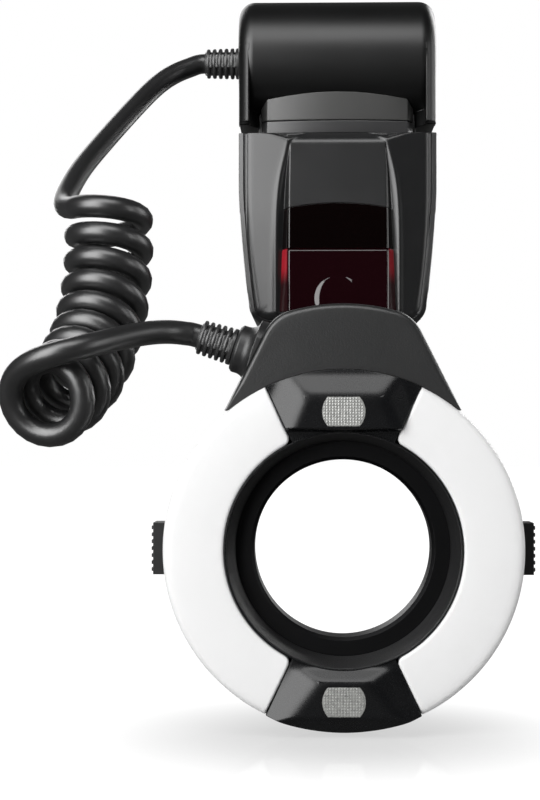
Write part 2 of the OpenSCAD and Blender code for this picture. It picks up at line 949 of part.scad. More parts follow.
module ring_rear_shell() {
    color("#262628")
    ring_frame()
        difference() {
            union() {
                tube_ring(ring_r - shell_wall, ring_r, back_z + 3, split_z);
                tube_ring(bore_r, ring_r - 3, back_z, back_z + shell_wall);
                // rounded outer edge at the back
                intersection() {
                    translate([0, 0, back_z + 3])
                        rotate_extrude($fn = arc_fn)
                            translate([ring_r - 3, 0])
                                difference() {
                                    circle(3);
                                    circle(3 - shell_wall);
                                    translate([-9, 0])
                                        square([20, 9]);
                                    translate([-9, -9])
                                        square([9, 20]);
                                }
                    cylinder(r = ring_r + 5, h = 200, center = true, $fn = arc_fn);
                }
                tube_ring(bore_r, bore_r + bore_wall, back_z, lip_z - 0.2);
                // rear half of the neck
                difference() {
                    neck_prism(0, neck_back_z, neck_split_z);
                    neck_prism(shell_wall, neck_back_z + shell_wall, neck_split_z + 1);
                    translate([0, 0, -100])
                        cylinder(r = ring_r - shell_wall / 2, h = 200, $fn = arc_fn);
                }
                ring_screw_spots()
                    cylinder(r = 2.8, h = 8);
            }
            slider_slots(key_gap);
            // wire way from the neck into the ring
            box([-8, ring_r - 8, neck_back_z + 4], [8, ring_r + 4, neck_split_z + 20]);
            gland_place()
                cylinder(r = 4.4, h = 60, center = true);
            ring_screw_spots() {
                translate([0, 0, -1])
                    cylinder(r = 2.2, h = 2.5);
                cylinder(r = 1.1, h = 7);
            }
        }
}

// A raised lamp boss: its flat runs from flat_lo to flat_hi and from half_hi to half_lo wide
module boss(flat_lo, flat_hi, half_lo, half_hi, slope_lo, slope_hi) {
    drop = boss_z - face_z;
    lean = atan2(half_lo - half_hi, flat_hi - flat_lo);
    difference() {
        rotate([90, 0, 90])
            linear_extrude(height = 120, center = true)
                polygon([[flat_lo - drop * slope_lo, face_z - 2.2], [flat_lo - drop * slope_lo, face_z],
                    [flat_lo, boss_z], [flat_hi, boss_z], [flat_hi + drop * slope_hi, face_z],
                    [flat_hi + drop * slope_hi, face_z - 2.2]]);
        // side facets, each sloping down from its ridge
        for (m = [0, 1])
            mirror([m, 0, 0])
                translate([half_hi, flat_hi, boss_z])
                    rotate([0, 0, lean])
                        rotate([0, atan(boss_slope), 0])
                            translate([-100, -100, 0])
                                cube([200, 200, 60]);
    }
}

module lamp_prism(g, z0, z1) {
    translate([0, 0, z0])
        linear_extrude(height = z1 - z0)
            intersection() {
                circle(lamp_r + g);
                square([40, 2 * (lamp_half + g)], center = true);
            }
}

module bridge_zone(z0, z1) {
    wedge(90 - bridge_a, 90 + bridge_a, z0, z1);
    wedge(270 - bridge_a, 270 + bridge_a, z0, z1);
}

module ring_front_frame() {
    color("#1d1d1f")
    ring_frame()
        difference() {
            union() {
                // outer rim under the diffusers
                tube_ring(ring_r - shell_wall, ring_r, split_z + seam, -glow_t - 0.1);
                // tapered inner wall
                translate([0, 0, lip_z])
                    rotate_extrude($fn = arc_fn)
                        polygon([[lip_r, 0], [inner_rim - 0.15, 0], [inner_rim - 0.15, -lip_z - glow_t - 0.1],
                            [hole_r + 0.45, -lip_z - glow_t - 0.1], [hole_r + 0.45, -lip_z - 0.7],
                            [hole_r, -lip_z - 0.7]]);
                // bridges with their lamp bosses
                intersection() {
                    tube_ring(hole_r + 0.3, ring_r, -30, 10);
                    bridge_zone(-40, 20);
                    union() {
                        tube_ring(hole_r - 5, ring_r + 5, face_z - 2.2, face_z);
                        boss(hole_r + 1.2, hole_r + 11, 16, 12, 0.2, 2.1);
                        boss(-(hole_r + 14.8), -(hole_r + 3.6), 13.6, 7.6, 1.2, 0.9);
                        // side walls that the diffusers stand against
                        intersection() {
                            tube_ring(hole_r - 5, ring_r + 5, split_z + seam, face_z - 1);
                            difference() {
                                bridge_zone(-40, 20);
                                for (s = [1, -1])
                                    mirror([0, s < 0 ? 1 : 0, 0])
                                        translate([0, 4, 0])
                                            wedge(90 - bridge_a, 90 + bridge_a, -50, 50);
                            }
                        }
                    }
                }
            }
            translate([0, top_lamp_y, 0])
                lamp_prism(seam, -30, 20);
            translate([0, low_lamp_y, 0])
                lamp_prism(seam, -30, 20);
        }
}

module neck_cover() {
    color("#29292b")
    ring_frame()
        difference() {
            neck_prism(0, neck_split_z + seam, neck_face_z);
            neck_prism(shell_wall, neck_split_z - 1, neck_face_z - shell_wall);
            translate([0, 0, -100])
                cylinder(r = ring_r + 0.2, h = 200, $fn = arc_fn);
            gland_place()
                cylinder(r = 4.4, h = 60, center = true);
        }
}

module cord_gland() {
    bore = relief_root_r + seam;
    flare_r = gland_r + gland_flare;
    flare_s = gland_l - 2.6;
    color("#232325")
    ring_frame()
        difference() {
            intersection() {
                gland_place()
                    rotate_extrude($fn = 48)
                        polygon(concat([[bore, -4], [flare_r, -4]],
                            arc([flare_r, flare_s], gland_flare, 270, 180, 6),
                            [[gland_r, gland_l - gland_edge], [gland_r - gland_edge, gland_l], [bore, gland_l]]));
                translate([0, 0, neck_back_z + 0.4])
                    linear_extrude(height = neck_face_z - neck_back_z - 0.9)
                        square(300, center = true);
            }
            neck_prism(-seam, back_z - 5, 10);
        }
}

module lower_strain_relief() {
    color("#1c1c1e")
    ring_frame()
        gland_place()
            translate([0, 0, gland_l])
                relief(relief_l, gland_l + 4);
}

module glow_half() {
    edge = 0.25;
    difference() {
            rotate_extrude($fn = arc_fn)
                polygon(concat(
                    [[inner_rim, -glow_t], [ring_r, -glow_t]],
                    arc([ring_r - 2.4, -2.4 - 0.3], 2.4, 0, 90, 5),
                    [[channel_r, 0]],
                    arc([inner_rim + 1.2, -1.5], 1.2, 90, 180, 3)));
            rotate_extrude($fn = arc_fn)
                polygon([[inner_rim + 2, -glow_t - 1], [ring_r - 2, -glow_t - 1], [ring_r - 2, -2.2],
                    [inner_rim + 2, -2.2]]);
            box([-100, -100, -50], [0, 100, 50]);
            translate([0, 0, -50])
                linear_extrude(height = 100)
                    for (s = [1, -1])
                        polygon([[0, 0], [90 * sin(bridge_a + edge), s * 90 * cos(bridge_a + edge)],
                            [90 * sin(bridge_a + edge), s * 130], [-5, s * 130]]);
        }
}

module right_diffuser() { color("#f4f4f2") ring_frame() glow_half(); }
module left_diffuser() { color("#f4f4f2") ring_frame() rotate([0, 0, 180]) glow_half(); }

// Half trough: its skin between two arcs, or filled
function trough(r, skin) = concat(
    arc([channel_r, channel_z], r, 180, 360, 8),
    skin > 0 ? arc([channel_r, channel_z], r - skin, 360, 180, 8) : []);

module reflector_half() {
    difference() {
        union() {
            rotate([0, 0, -reflector_a / 2])
                rotate_extrude(angle = reflector_a, $fn = arc_fn)
                    polygon(trough(channel_half, reflector_skin));
            for (s = [-1, 1])
                rotate([0, 0, s * (reflector_a / 2 - 1) - 0.6])
                    rotate_extrude(angle = 1.2, $fn = arc_fn)
                        polygon(trough(channel_half - reflector_skin / 2, 0));
        }
        // holes that the tube runs through
        for (s = [-1, 1])
            rotate([0, 0, s * (reflector_a / 2 - 1)])
                translate([channel_r, 0, tube_z])
                    rotate([90, 0, 0])
                        cylinder(r = tube_r + seam, h = 6, center = true);
    }
}
module tube_half() {
    sweep = reflector_a + 4;
    rotate([0, 0, -sweep / 2])
        rotate_extrude(angle = sweep, $fn = arc_fn)
            translate([channel_r, tube_z])
                circle(tube_r);
}

module right_reflector() { color("#d8dadc") ring_frame() reflector_half(); }
module left_reflector() { color("#d8dadc") ring_frame() rotate([0, 0, 180]) reflector_half(); }
module right_flash_tube() { color("#dfe8f0") ring_frame() tube_half(); }
module left_flash_tube() { color("#dfe8f0") ring_frame() rotate([0, 0, 180]) tube_half(); }

module lamp_lens(y) {
    ring_frame()
        translate([0, y, 0])
            lamp_prism(0, boss_z - lamp_t, boss_z + 0.3);
}
module top_lamp_lens() { color("#c9cdd2") lamp_lens(top_lamp_y); }
module bottom_lamp_lens() { color("#c9cdd2") lamp_lens(low_lamp_y); }

module lamp_diodes() {
    under = face_z - 2.2;
    color("#e6e2c8")
    ring_frame()
        for (y = [top_lamp_y, low_lamp_y])
            translate([0, y, 0]) {
                translate([0, 0, under - 1.2])
                    linear_extrude(height = 1.2)
                        square([15, 11], center = true);
                translate([0, 0, under - eps])
                    cylinder(r = 2.5, h = 1.4);
            }
}

// A release slider: a button on one side, an arm over the bore and a hook on the far side
module slider() {
    hook_tip = flange_r - hook_in;
    difference() {
        union() {
            // button with its ribs
            box([-ring_r - button_out, -button_half, button_z0], [-ring_r + 1.6, button_half, button_z1]);
            for (k = [-3:3])
                box([-ring_r - button_out - 0.5, 2.2 * k - 0.55, button_z0 + 0.5],
                    [-ring_r - button_out + 0.5, 2.2 * k + 0.55, button_z1 - 0.5]);
            // stem to the arm
            box([-ring_r + 1, hook_y0, button_z0], [-ring_r + 4, hook_y1, arm_z + arm_t]);
            box([-ring_r + 3, hook_y0, arm_z], [-arm_r, hook_y1, arm_z + arm_t]);
            // arm
            intersection() {
                tube_ring(arm_r - arm_w / 2, arm_r + arm_w / 2, arm_z, arm_z + arm_t);
                box([-100, hook_y0, -100], [100, 100, 100]);
            }
            // hook
            box([hook_tip + 6, hook_y0, arm_z], [arm_r, hook_y1, flange_z0 - run_gap]);
            intersection() {
                box([hook_tip - 1, hook_y0, flange_z0 - run_gap - 2.4], [arm_r, hook_y1, flange_z0 - run_gap]);
                tube_ring(hook_tip, arm_r + 5, -100, 100);
            }
        }
        // hollow of the button
        box([-ring_r - button_out + 2, -button_half + 2, button_z0 + 2], [-ring_r + 1.5, button_half - 2, button_z1 - 2]);
    }
}
module left_release() { color("#121214") ring_frame() slider(); }
module right_release() { color("#121214") ring_frame() rotate([0, 0, 180]) slider(); }

module adapter_ring() {
    inner = thread_r - thread_in;
    color("#161618")
    ring_frame()
        rotate_extrude($fn = arc_fn)
            polygon([[inner, shoulder_z - thread_l], [thread_r, shoulder_z - thread_l], [thread_r, shoulder_z],
                [shoulder_r, shoulder_z], [shoulder_r, flange_z0], [flange_r, flange_z0], [flange_r, flange_z1],
                [inner + 1, flange_z1], [inner, flange_z1 - 1]]);
}

module ring_board() {
    color("#1d4a2a")
    ring_frame()
        box([-15, ring_r + 2, neck_back_z + shell_wall + 0.2], [15, neck_top - 5, neck_back_z + shell_wall + 1.8]);
}

module ring_screws() {
    color("#3a3a3c")
    ring_frame()
        ring_screw_spots() {
            difference() {
                translate([0, 0, 0.2])
                    cylinder(r = 1.9, h = 1.3);
                for (a = [0, 90])
                    rotate([0, 0, a])
                        cube([2.4, 0.5, 1.6], center = true);
            }
            translate([0, 0, 1.5 - eps])
                cylinder(r = 1, h = 4.5);
        }
}

// Cord

function catmull(p, t) =
    let (n = len(p) - 1, i = min(floor(t), n - 1), u = t - i,
        a = i > 0 ? p[i - 1] : 2 * p[0] - p[1], b = p[i], c = p[i + 1],
        d = i + 2 <= n ? p[i + 2] : 2 * p[n] - p[n - 1])
    0.5 * (2 * b + (c - a) * u + (2 * a - 5 * b + 4 * c - d) * u * u + (3 * b - a - 3 * c + d) * u * u * u);
function unit(v) = v / norm(v);
// Directions along a line of points
function tangents(p) = [for (k = [0:len(p) - 1]) unit(p[min(k + 1, len(p) - 1)] - p[max(k - 1, 0)])];
// A normal carried along the line without twist
function carried(t, n, k, out) =
    k == len(t) ? out
    : let (m = unit(n - (n * t[k]) * t[k])) carried(t, m, k + 1, concat(out, [m]));

// Curls wound about their line, left-handed
curl_n = round((curls + curl_extra) * curl_rings);
axis_points = [for (k = [0:curl_n]) catmull(curl_line, (len(curl_line) - 1) * k / curl_n)];
axis_t = tangents(axis_points);
axis_n = carried(axis_t, [1, 0, 0], 0, []);
curl_points = [for (k = [0:curl_n])
    let (a = curl_start - 360 * k / curl_rings, b = cross(axis_t[k], axis_n[k]))
    axis_points[k] + curl_r * (cos(a) * axis_n[k] + sin(a) * b)];
curl_in = unit(curl_points[1] - curl_points[0]);
curl_out = unit(curl_points[curl_n] - curl_points[curl_n - 1]);

// Points eased toward their neighbours so many times; the two at each end stay
function eased(p, times) =
    times == 0 ? p
    : let (last = len(p) - 1)
        eased([for (j = [0:last]) j < 2 || j > last - 2 ? p[j] : (p[j - 1] + 2 * p[j] + p[j + 1]) / 4], times - 1);
// A straight start and end of one diameter, with the route between
function lead_points(a, da, route, b, db) =
    let (k = concat([a + cable_d * da], route, [b - cable_d * db]), m = len(k) - 1,
        g = concat([k[1] - 2 * norm(k[1] - k[0]) * da], k, [k[m - 1] + 2 * norm(k[m] - k[m - 1]) * db]))
    eased(concat([a], [for (j = [0:3 * m]) catmull(g, 1 + j / 3)], [b]), lead_ease);
upper_points = lead_points(upper_end, [-1, 0, 0], upper_route, curl_points[0], curl_in);
lower_points = lead_points(curl_points[curl_n], curl_out, lower_route, lower_end, -gland_dir);

// A tube along points, with flat ends square to first and last directions
module tube(p, first, last, r, sides) {
    n = len(p) - 1;
    mid = tangents(p);
    t = [for (k = [0:n]) k == 0 ? first : k == n ? last : mid[k]];
    m = carried(t, unit(cross(t[0], [0.31, 0.17, 0.93])), 0, []);
    pts = [for (k = [0:n], j = [0:sides - 1])
        let (a = 360 * j / sides) p[k] + r * (cos(a) * m[k] + sin(a) * cross(t[k], m[k]))];
    faces = concat(
        [for (k = [0:n - 1], j = [0:sides - 1])
            [k * sides + j, (k + 1) * sides + j, k * sides + (j + 1) % sides]],
        [for (k = [0:n - 1], j = [0:sides - 1])
            [k * sides + (j + 1) % sides, (k + 1) * sides + j, (k + 1) * sides + (j + 1) % sides]],
        [for (j = [1:sides - 2]) [0, j, j + 1]],
        [for (j = [1:sides - 2]) [n * sides, n * sides + j + 1, n * sides + j]]);
    polyhedron(points = pts, faces = faces);
}

module cord_upper_lead() {
    color("#19191b")
    tube(upper_points, [-1, 0, 0], curl_in, cable_d / 2, lead_sides);
}
module cord_curls() {
    color("#19191b")
    tube(curl_points, curl_in, curl_out, cable_d / 2, curl_sides);
}
module cord_lower_lead() {
    color("#19191b")
    tube(lower_points, curl_out, -gland_dir, cable_d / 2, lead_sides);
}

// Least gap of the cord to itself, between points more than a third of a curl apart along it
cord_line = concat(upper_points, [for (k = [1:curl_n]) curl_points[k]],
    [for (k = [1:len(lower_points) - 1]) lower_points[k]]);
fine_line = [for (k = [0:len(cord_line) - 2], u = [0, 0.25, 0.5, 0.75])
    cord_line[k] + u * (cord_line[k + 1] - cord_line[k])];
fine_at = [for (k = 0, at = 0; k < len(fine_line);
    k = k + 1, at = at + (k < len(fine_line) ? norm(fine_line[k] - fine_line[k - 1]) : 0)) at];
self_gap = min([for (a = [0:len(fine_line) - 2], b = [a + 1:len(fine_line) - 1])
    if (fine_at[b] - fine_at[a] > 2.2 * curl_r) norm(fine_line[a] - fine_line[b])]) - cable_d;
echo(self_gap = self_gap, cord_length = fine_at[len(fine_at) - 1]);

front_cover();
rear_shell();
sensor_window();
af_window();
af_emitter();
battery_door();
door_pin();
battery_box();
aa_cells();
main_board();
key_switches();
lcd_module();
lcd_window();
mode_button();
ratio_button();
lamp_button();
minus_button();
select_button();
plus_button();
pilot_button();
confirm_lamp();
power_switch();
neck_collar();
neck_saddle();
head_front_shell();
head_rear_shell();
main_capacitor();
upper_strain_relief();
foot_pedestal();
foot_plate();
contact_block();
contact_pins();
lock_ring();
lock_plate();
lock_pin();
case_screws();
ring_rear_shell();
ring_front_frame();
neck_cover();
left_diffuser();
right_diffuser();
left_reflector();
right_reflector();
left_flash_tube();
right_flash_tube();
top_lamp_lens();
bottom_lamp_lens();
lamp_diodes();
left_release();
right_release();
adapter_ring();
ring_board();
ring_screws();
cord_gland();
lower_strain_relief();
cord_upper_lead();
cord_curls();
cord_lower_lead();
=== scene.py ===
import json
import math

import bmesh
import bpy
import numpy as np
from mathutils import Matrix, Vector

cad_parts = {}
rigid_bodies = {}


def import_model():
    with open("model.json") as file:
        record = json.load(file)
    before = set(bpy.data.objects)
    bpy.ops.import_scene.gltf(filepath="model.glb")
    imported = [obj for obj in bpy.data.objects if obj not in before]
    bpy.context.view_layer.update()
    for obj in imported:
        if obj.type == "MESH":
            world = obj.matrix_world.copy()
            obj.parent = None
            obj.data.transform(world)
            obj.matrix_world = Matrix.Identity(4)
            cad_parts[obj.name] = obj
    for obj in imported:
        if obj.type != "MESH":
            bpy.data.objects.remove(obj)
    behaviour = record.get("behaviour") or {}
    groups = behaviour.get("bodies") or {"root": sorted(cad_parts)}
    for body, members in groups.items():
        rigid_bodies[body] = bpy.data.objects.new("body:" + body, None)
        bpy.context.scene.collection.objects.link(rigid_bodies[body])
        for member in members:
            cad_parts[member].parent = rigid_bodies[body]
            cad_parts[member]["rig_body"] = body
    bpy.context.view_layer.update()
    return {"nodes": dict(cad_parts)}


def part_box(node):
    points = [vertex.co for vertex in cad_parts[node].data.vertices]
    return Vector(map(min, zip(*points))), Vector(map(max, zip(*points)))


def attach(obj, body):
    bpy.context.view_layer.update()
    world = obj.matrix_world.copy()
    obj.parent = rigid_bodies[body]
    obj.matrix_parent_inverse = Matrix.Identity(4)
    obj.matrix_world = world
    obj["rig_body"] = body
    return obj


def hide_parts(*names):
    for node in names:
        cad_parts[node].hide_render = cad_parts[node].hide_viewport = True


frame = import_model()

MM = 0.001
BODY = "flash"
NODE = frame["nodes"]

# Sizes shared with the solids, in millimetres
CASE_TOP = 86.0
CASE_LOW = 14.0
CASE_HALF = 37.0
SEAM_Y = -21.0
STRIP_HALF = 17.908
STRIP_TOP = 83.5
STRIP_LOW = 19.0
STRIP_SPAN = STRIP_TOP - STRIP_LOW
SENSOR_TOP = STRIP_LOW + 0.625 * STRIP_SPAN
SENSOR_LOW = STRIP_LOW + 0.36 * STRIP_SPAN
ARCH_R = 96.0
ARCH_HALF = 22
DRUM_Y = -2.0
DRUM_Z = 117.2
DRUM_R = 23.0
DRUM_HALF = 37.3
RING_Y = -127.0
RING_Z = -62.5
RING_R = 56.5
HOLE_R = 36.75
CABLE_D = 7.6
CURL_R = 11.3
BRIDGE_A = 25.4
TOP_LAMP_Y = HOLE_R + 6.5
LOW_LAMP_Y = -(HOLE_R + 9.6)


# Camera, at the photograph's viewing angle

CAMERA_PLACE = (-0.011, -0.647, -0.0261)
CAMERA_YAW = math.radians(-1.308)
CAMERA_PITCH = math.radians(1.153)
CAMERA_LENS = 75.24
CAMERA_SENSOR = 36


def place_camera():
    data = bpy.data.cameras.new("view")
    data.sensor_width = CAMERA_SENSOR
    data.lens = CAMERA_LENS
    data.clip_start = 0.01
    camera = bpy.data.objects.new("view", data)
    bpy.context.scene.collection.objects.link(camera)
    level = math.cos(CAMERA_PITCH)
    aim = Vector((math.sin(CAMERA_YAW) * level, math.cos(CAMERA_YAW) * level, math.sin(CAMERA_PITCH)))
    camera.location = CAMERA_PLACE
    camera.rotation_euler = aim.to_track_quat("-Z", "Y").to_euler()
    bpy.context.scene.camera = camera


place_camera()


# Shader maths: a value in a node tree, on which sums and products add Math nodes

class Value:
    def __init__(self, finish, socket):
        self.finish = finish
        self.socket = socket

    def math(self, operation, a, b):
        return self.finish.node("ShaderNodeMath", {"operation": operation}, {0: a, 1: b})

    def __add__(self, other):
        return self.math("ADD", self, other)

    def __sub__(self, other):
        return self.math("SUBTRACT", self, other)

    def __mul__(self, other):
        return self.math("MULTIPLY", self, other)

    def __gt__(self, other):
        return self.math("GREATER_THAN", self, other)

    __radd__ = __add__
    __rmul__ = __mul__


class Finish:
    def __init__(self, owner):
        self.owner = owner
        owner.use_nodes = True
        self.tree = owner.node_tree
        self.tree.nodes.clear()

    def node(self, kind, settings=None, inputs=None, out=0):
        made = self.tree.nodes.new(kind)
        for key, value in (settings or {}).items():
            setattr(made, key, value)
        for key, value in (inputs or {}).items():
            if isinstance(value, Value):
                self.tree.links.new(value.socket, made.inputs[key])
            elif hasattr(value, "__len__") and len(value) == 3 and made.inputs[key].type == "RGBA":
                made.inputs[key].default_value = (*value, 1)
            else:
                made.inputs[key].default_value = value
        return Value(self, made.outputs[out]) if made.outputs else None

    def place(self):
        return self.node("ShaderNodeTexCoord", out="Object")

    def axis(self, letter):
        return self.node("ShaderNodeSeparateXYZ", None, {0: self.place()}, out=letter)

    def ray(self, kind):
        return self.node("ShaderNodeLightPath", out="Is " + kind + " Ray")

    def remap(self, value, low, high, first=0.0, last=1.0, soft=True):
        kind = "SMOOTHSTEP" if soft else "LINEAR"
        return self.node("ShaderNodeMapRange", {"interpolation_type": kind},
                         {0: value, 1: low, 2: high, 3: first, 4: last})

    def noise(self, size, detail=2.0, rough=0.5):
        return self.node("ShaderNodeTexNoise", None, {"Vector": self.place(), "Scale": 1 / (size * MM),
                                                     "Detail": detail, "Roughness": rough})

    def blend(self, factor, a, b):
        return self.node("ShaderNodeMix", {"data_type": "RGBA"}, {0: factor, 6: a, 7: b}, out=2)

    def edges(self, radius):
        return self.node("ShaderNodeBevel", {"samples": 4}, {"Radius": radius * MM})

    def bump(self, height, depth, normal=None):
        inputs = {"Height": height, "Distance": depth * MM, "Strength": 1.0}
        if normal is not None:
            inputs["Normal"] = normal
        return self.node("ShaderNodeBump", None, inputs)

    def surface(self, **sockets):
        inputs = {key.replace("_", " "): value for key, value in sockets.items()}
        self.output(self.node("ShaderNodeBsdfPrincipled", None, inputs))

    def output(self, shader):
        kind = "World" if isinstance(self.owner, bpy.types.World) else "Material"
        self.node("ShaderNodeOutput" + kind, None, {"Surface": shader})


def new_finish(name):
    return Finish(bpy.data.materials.new(name))


def tone(colour, k):
    return tuple(min(1.0, c * k) for c in colour)


SHEEN_SWING = 0.05
GRAIN_SWING = 0.06
COAT_IOR = 1.7


def moulded(name, colour, rough, grain=0.3, depth=0.008, edge=0.3, gloss=0.8, coat=0.0):
    """Moulded plastic or rubber: fine spark texture, uneven sheen and softened edges."""
    f = new_finish(name)
    fine = f.noise(grain, 3.0, 0.6)
    broad = f.noise(14.0, 2.0)
    normal = f.edges(edge) if edge else None
    sheen = rough - SHEEN_SWING / 2 + broad * SHEEN_SWING + (fine - 0.5) * GRAIN_SWING
    f.surface(Base_Color=f.blend(broad, tone(colour, 0.88), tone(colour, 1.12)), Roughness=sheen,
              Specular_IOR_Level=gloss, Coat_Weight=coat, Coat_Roughness=rough, Coat_IOR=COAT_IOR,
              Normal=f.bump(fine, depth, normal))
    return f.owner


def metal(name, colour, rough, stretch=(1, 1, 40)):
    """Worked metal with faint tool marks along one direction."""
    f = new_finish(name)
    along = f.node("ShaderNodeMapping", None, {"Vector": f.place(), "Scale": stretch})
    marks = f.node("ShaderNodeTexNoise", None, {"Vector": along, "Scale": 1 / (0.5 * MM), "Detail": 2.0})
    broad = f.noise(9.0)
    f.surface(Base_Color=f.blend(broad, tone(colour, 0.9), tone(colour, 1.06)), Metallic=1.0,
              Roughness=rough + (marks - 0.5) * 0.12, Normal=f.bump(marks, 0.006, f.edges(0.2)))
    return f.owner


def glossy(name, colour, rough, coat=0.6):
    """Polished plastic with a faint ripple of the mould and a little dust."""
    f = new_finish(name)
    ripple = f.noise(18.0, 1.0)
    dust = f.noise(0.9, 2.0)
    f.surface(Base_Color=colour, Roughness=rough + (dust > 0.68) * 0.08, Coat_Weight=coat,
              Coat_Roughness=0.03, Normal=f.bump(ripple, 0.03, f.edges(0.25)))
    return f.owner


def opal():
    """White diffusing plastic, faintly clouded."""
    f = new_finish("opal_diffuser")
    cloud = f.noise(16.0, 2.0)
    fine = f.noise(0.35, 2.0)
    f.surface(Base_Color=f.blend(cloud, (0.76, 0.76, 0.76), (0.78, 0.78, 0.78)),
              Roughness=0.42 + cloud * 0.08, Subsurface_Weight=0.25,
              Subsurface_Radius=(0.002, 0.002, 0.002), Subsurface_Scale=0.5,
              Normal=f.bump(fine, 0.006, f.edges(0.3)))
    return f.owner


def red_glass():
    """Dark red filter with painted light on its two sides: a lighter red base and a red emission glow,
    stronger on the left and fading towards the bottom.
    """
    f = new_finish("red_filter")
    ripple = f.noise(20.0, 1.0)
    across = f.axis("X")
    off = f.node("ShaderNodeMath", {"operation": "ABSOLUTE"}, {0: across})
    flank = f.remap(off, 18.45 * MM, 19.15 * MM)
    painted_glow_left = f.remap(across, -20 * MM, 20 * MM, 1.0, 0.3, soft=False)
    painted_light_fade = f.remap(f.axis("Z"), 28.5 * MM, 36 * MM, 0.03, 1.0)
    # Painted light: on both sides a lighter red base and a red emission glow stand in for light entering the
    # filter; the glow is stronger on the left, and both fade towards the bottom.
    f.surface(Base_Color=f.blend(flank * painted_light_fade, (0.006, 0.0012, 0.002), (0.10, 0.003, 0.006)),
              Roughness=0.05 + flank * 0.2, Coat_Weight=0.4, Coat_Roughness=0.02,
              Emission_Color=f.blend(flank * painted_glow_left * painted_light_fade, (0.003, 0.0001, 0.0004), (0.26, 0.008, 0.016)),
              Emission_Strength=1.0, Normal=f.bump(ripple, 0.01, f.edges(0.25)))
    return f.owner


def pane(name, size, detail, low, high, rough, swing, depth, **more):
    """Clear pane over a clouded ground, whose tone, sheen and relief go together."""
    f = new_finish(name)
    cloud = f.noise(size, detail)
    f.surface(Base_Color=f.blend(cloud, low, high), Roughness=rough + cloud * swing,
              Normal=f.bump(cloud, depth), **more)
    return f.owner


FINISH = {
    "case": moulded("case_plastic", (0.0085, 0.0087, 0.0092), 0.31),
    "head": moulded("head_plastic", (0.0022, 0.0023, 0.0024), 0.37, 0.3, 0.004, gloss=0.7),
    "saddle": moulded("saddle_plastic", (0.048, 0.048, 0.047), 0.36, 0.35, 0.006),
    "collar": moulded("collar_plastic", (0.035, 0.035, 0.036), 0.30, 0.35, 0.005),
    "neck": moulded("neck_plastic", (0.013, 0.0133, 0.0135), 0.38, 0.6, 0.05),
    "ring": moulded("ring_plastic", (0.012, 0.012, 0.0125), 0.42, 0.4, 0.012),
    "bridge": moulded("bridge_plastic", (0.0045, 0.0047, 0.0053), 0.27, 0.4, 0.004, gloss=0.5),
    "bore": moulded("bore_plastic", (0.005, 0.005, 0.0054), 0.40, 0.4, 0.008),
    "dark": moulded("control_plastic", (0.006, 0.006, 0.0064), 0.36, 0.4, 0.008),
    "keys": moulded("key_rubber", (0.035, 0.035, 0.037), 0.55, 0.25, 0.01),
    "mark": moulded("key_mark", (0.50, 0.50, 0.48), 0.5, 0.3, 0.003, edge=0),
    "segment": moulded("display_segment", (0.018, 0.022, 0.018), 0.3, 0.4, 0.002, edge=0),
    "pilot": moulded("pilot_key", (0.16, 0.035, 0.016), 0.4, 0.3, 0.005),
    "cable": moulded("cable_rubber", (0.010, 0.010, 0.0104), 0.36, 0.5, 0.005, edge=0, gloss=0.9, coat=0.5),
    "sleeve": moulded("sleeve_rubber", (0.024, 0.024, 0.0245), 0.38, 0.4, 0.004, coat=0.3),
    "board": moulded("board_green", (0.012, 0.085, 0.03), 0.4, 1.2, 0.02),
    "cell": metal("cell_can", (0.55, 0.40, 0.16), 0.35),
    "can": metal("capacitor_can", (0.02, 0.04, 0.16), 0.4),
    "steel": metal("plated_steel", (0.52, 0.52, 0.53), 0.32),
    "screw": metal("black_screw", (0.05, 0.05, 0.052), 0.4),
    "brass": metal("contact_brass", (0.78, 0.58, 0.24), 0.25),
    "foil": metal("reflector_foil", (0.82, 0.82, 0.83), 0.18),
    "anodised": metal("anodised_black", (0.022, 0.022, 0.023), 0.42, (1, 40, 1)),
    "sensor": glossy("sensor_filter", (0.002, 0.0008, 0.0008), 0.05, 0.2),
    "emitter": glossy("emitter_lens", (0.30, 0.02, 0.03), 0.08),
    "lamp_chip": glossy("lamp_chip", (0.75, 0.66, 0.28), 0.3),
    "tube": glossy("flash_tube_glass", (0.72, 0.76, 0.80), 0.05),
    "status": glossy("status_lamp", (0.10, 0.32, 0.10), 0.15),
    "red": red_glass(),
    "opal": opal(),
    "lamp": pane("lamp_window", 1.4, 2.0, (0.20, 0.205, 0.20), (0.42, 0.42, 0.40), 0.22, 0.12, 0.02,
                 Metallic=0.25, Coat_Weight=0.7, Coat_Roughness=0.05),
    "display": pane("display_panel", 22.0, 1.0, (0.20, 0.23, 0.19), (0.25, 0.28, 0.23), 0.12, 0.04, 0.01,
                    Coat_Weight=1.0, Coat_Roughness=0.02),
}


def paint(piece, finish):
    piece.data.materials.clear()
    piece.data.materials.append(FINISH[finish])


# Hand tools

def only(piece):
    bpy.ops.object.select_all(action="DESELECT")
    piece.select_set(True)
    bpy.context.view_layer.objects.active = piece


def edit(piece):
    only(piece)
    bpy.ops.object.mode_set(mode="EDIT")
    bpy.ops.mesh.select_mode(type="FACE")
    bpy.ops.mesh.select_all(action="DESELECT")


def leave():
    bpy.ops.object.mode_set(mode="OBJECT")


def start(kind, name, **size):
    bpy.ops.object.select_all(action="DESELECT")
    getattr(bpy.ops.mesh, "primitive_" + kind + "_add")(**size)
    piece = bpy.context.object
    piece.name = name
    piece.data.name = name
    return piece


def cube(name, size):
    """A box of this size, left in edit mode with everything selected."""
    piece = start("cube", name, size=1)
    edit(piece)
    bpy.ops.mesh.select_all(action="SELECT")
    bpy.ops.transform.resize(value=tuple(s * MM for s in size))
    return piece


def settle(piece, matrix=None):
    if matrix is not None:
        piece.matrix_world = matrix
    only(piece)
    bpy.ops.object.transform_apply(location=True, rotation=True, scale=True)


def smooth(piece, angle):
    only(piece)
    bpy.ops.object.shade_smooth_by_angle(angle=math.radians(angle))


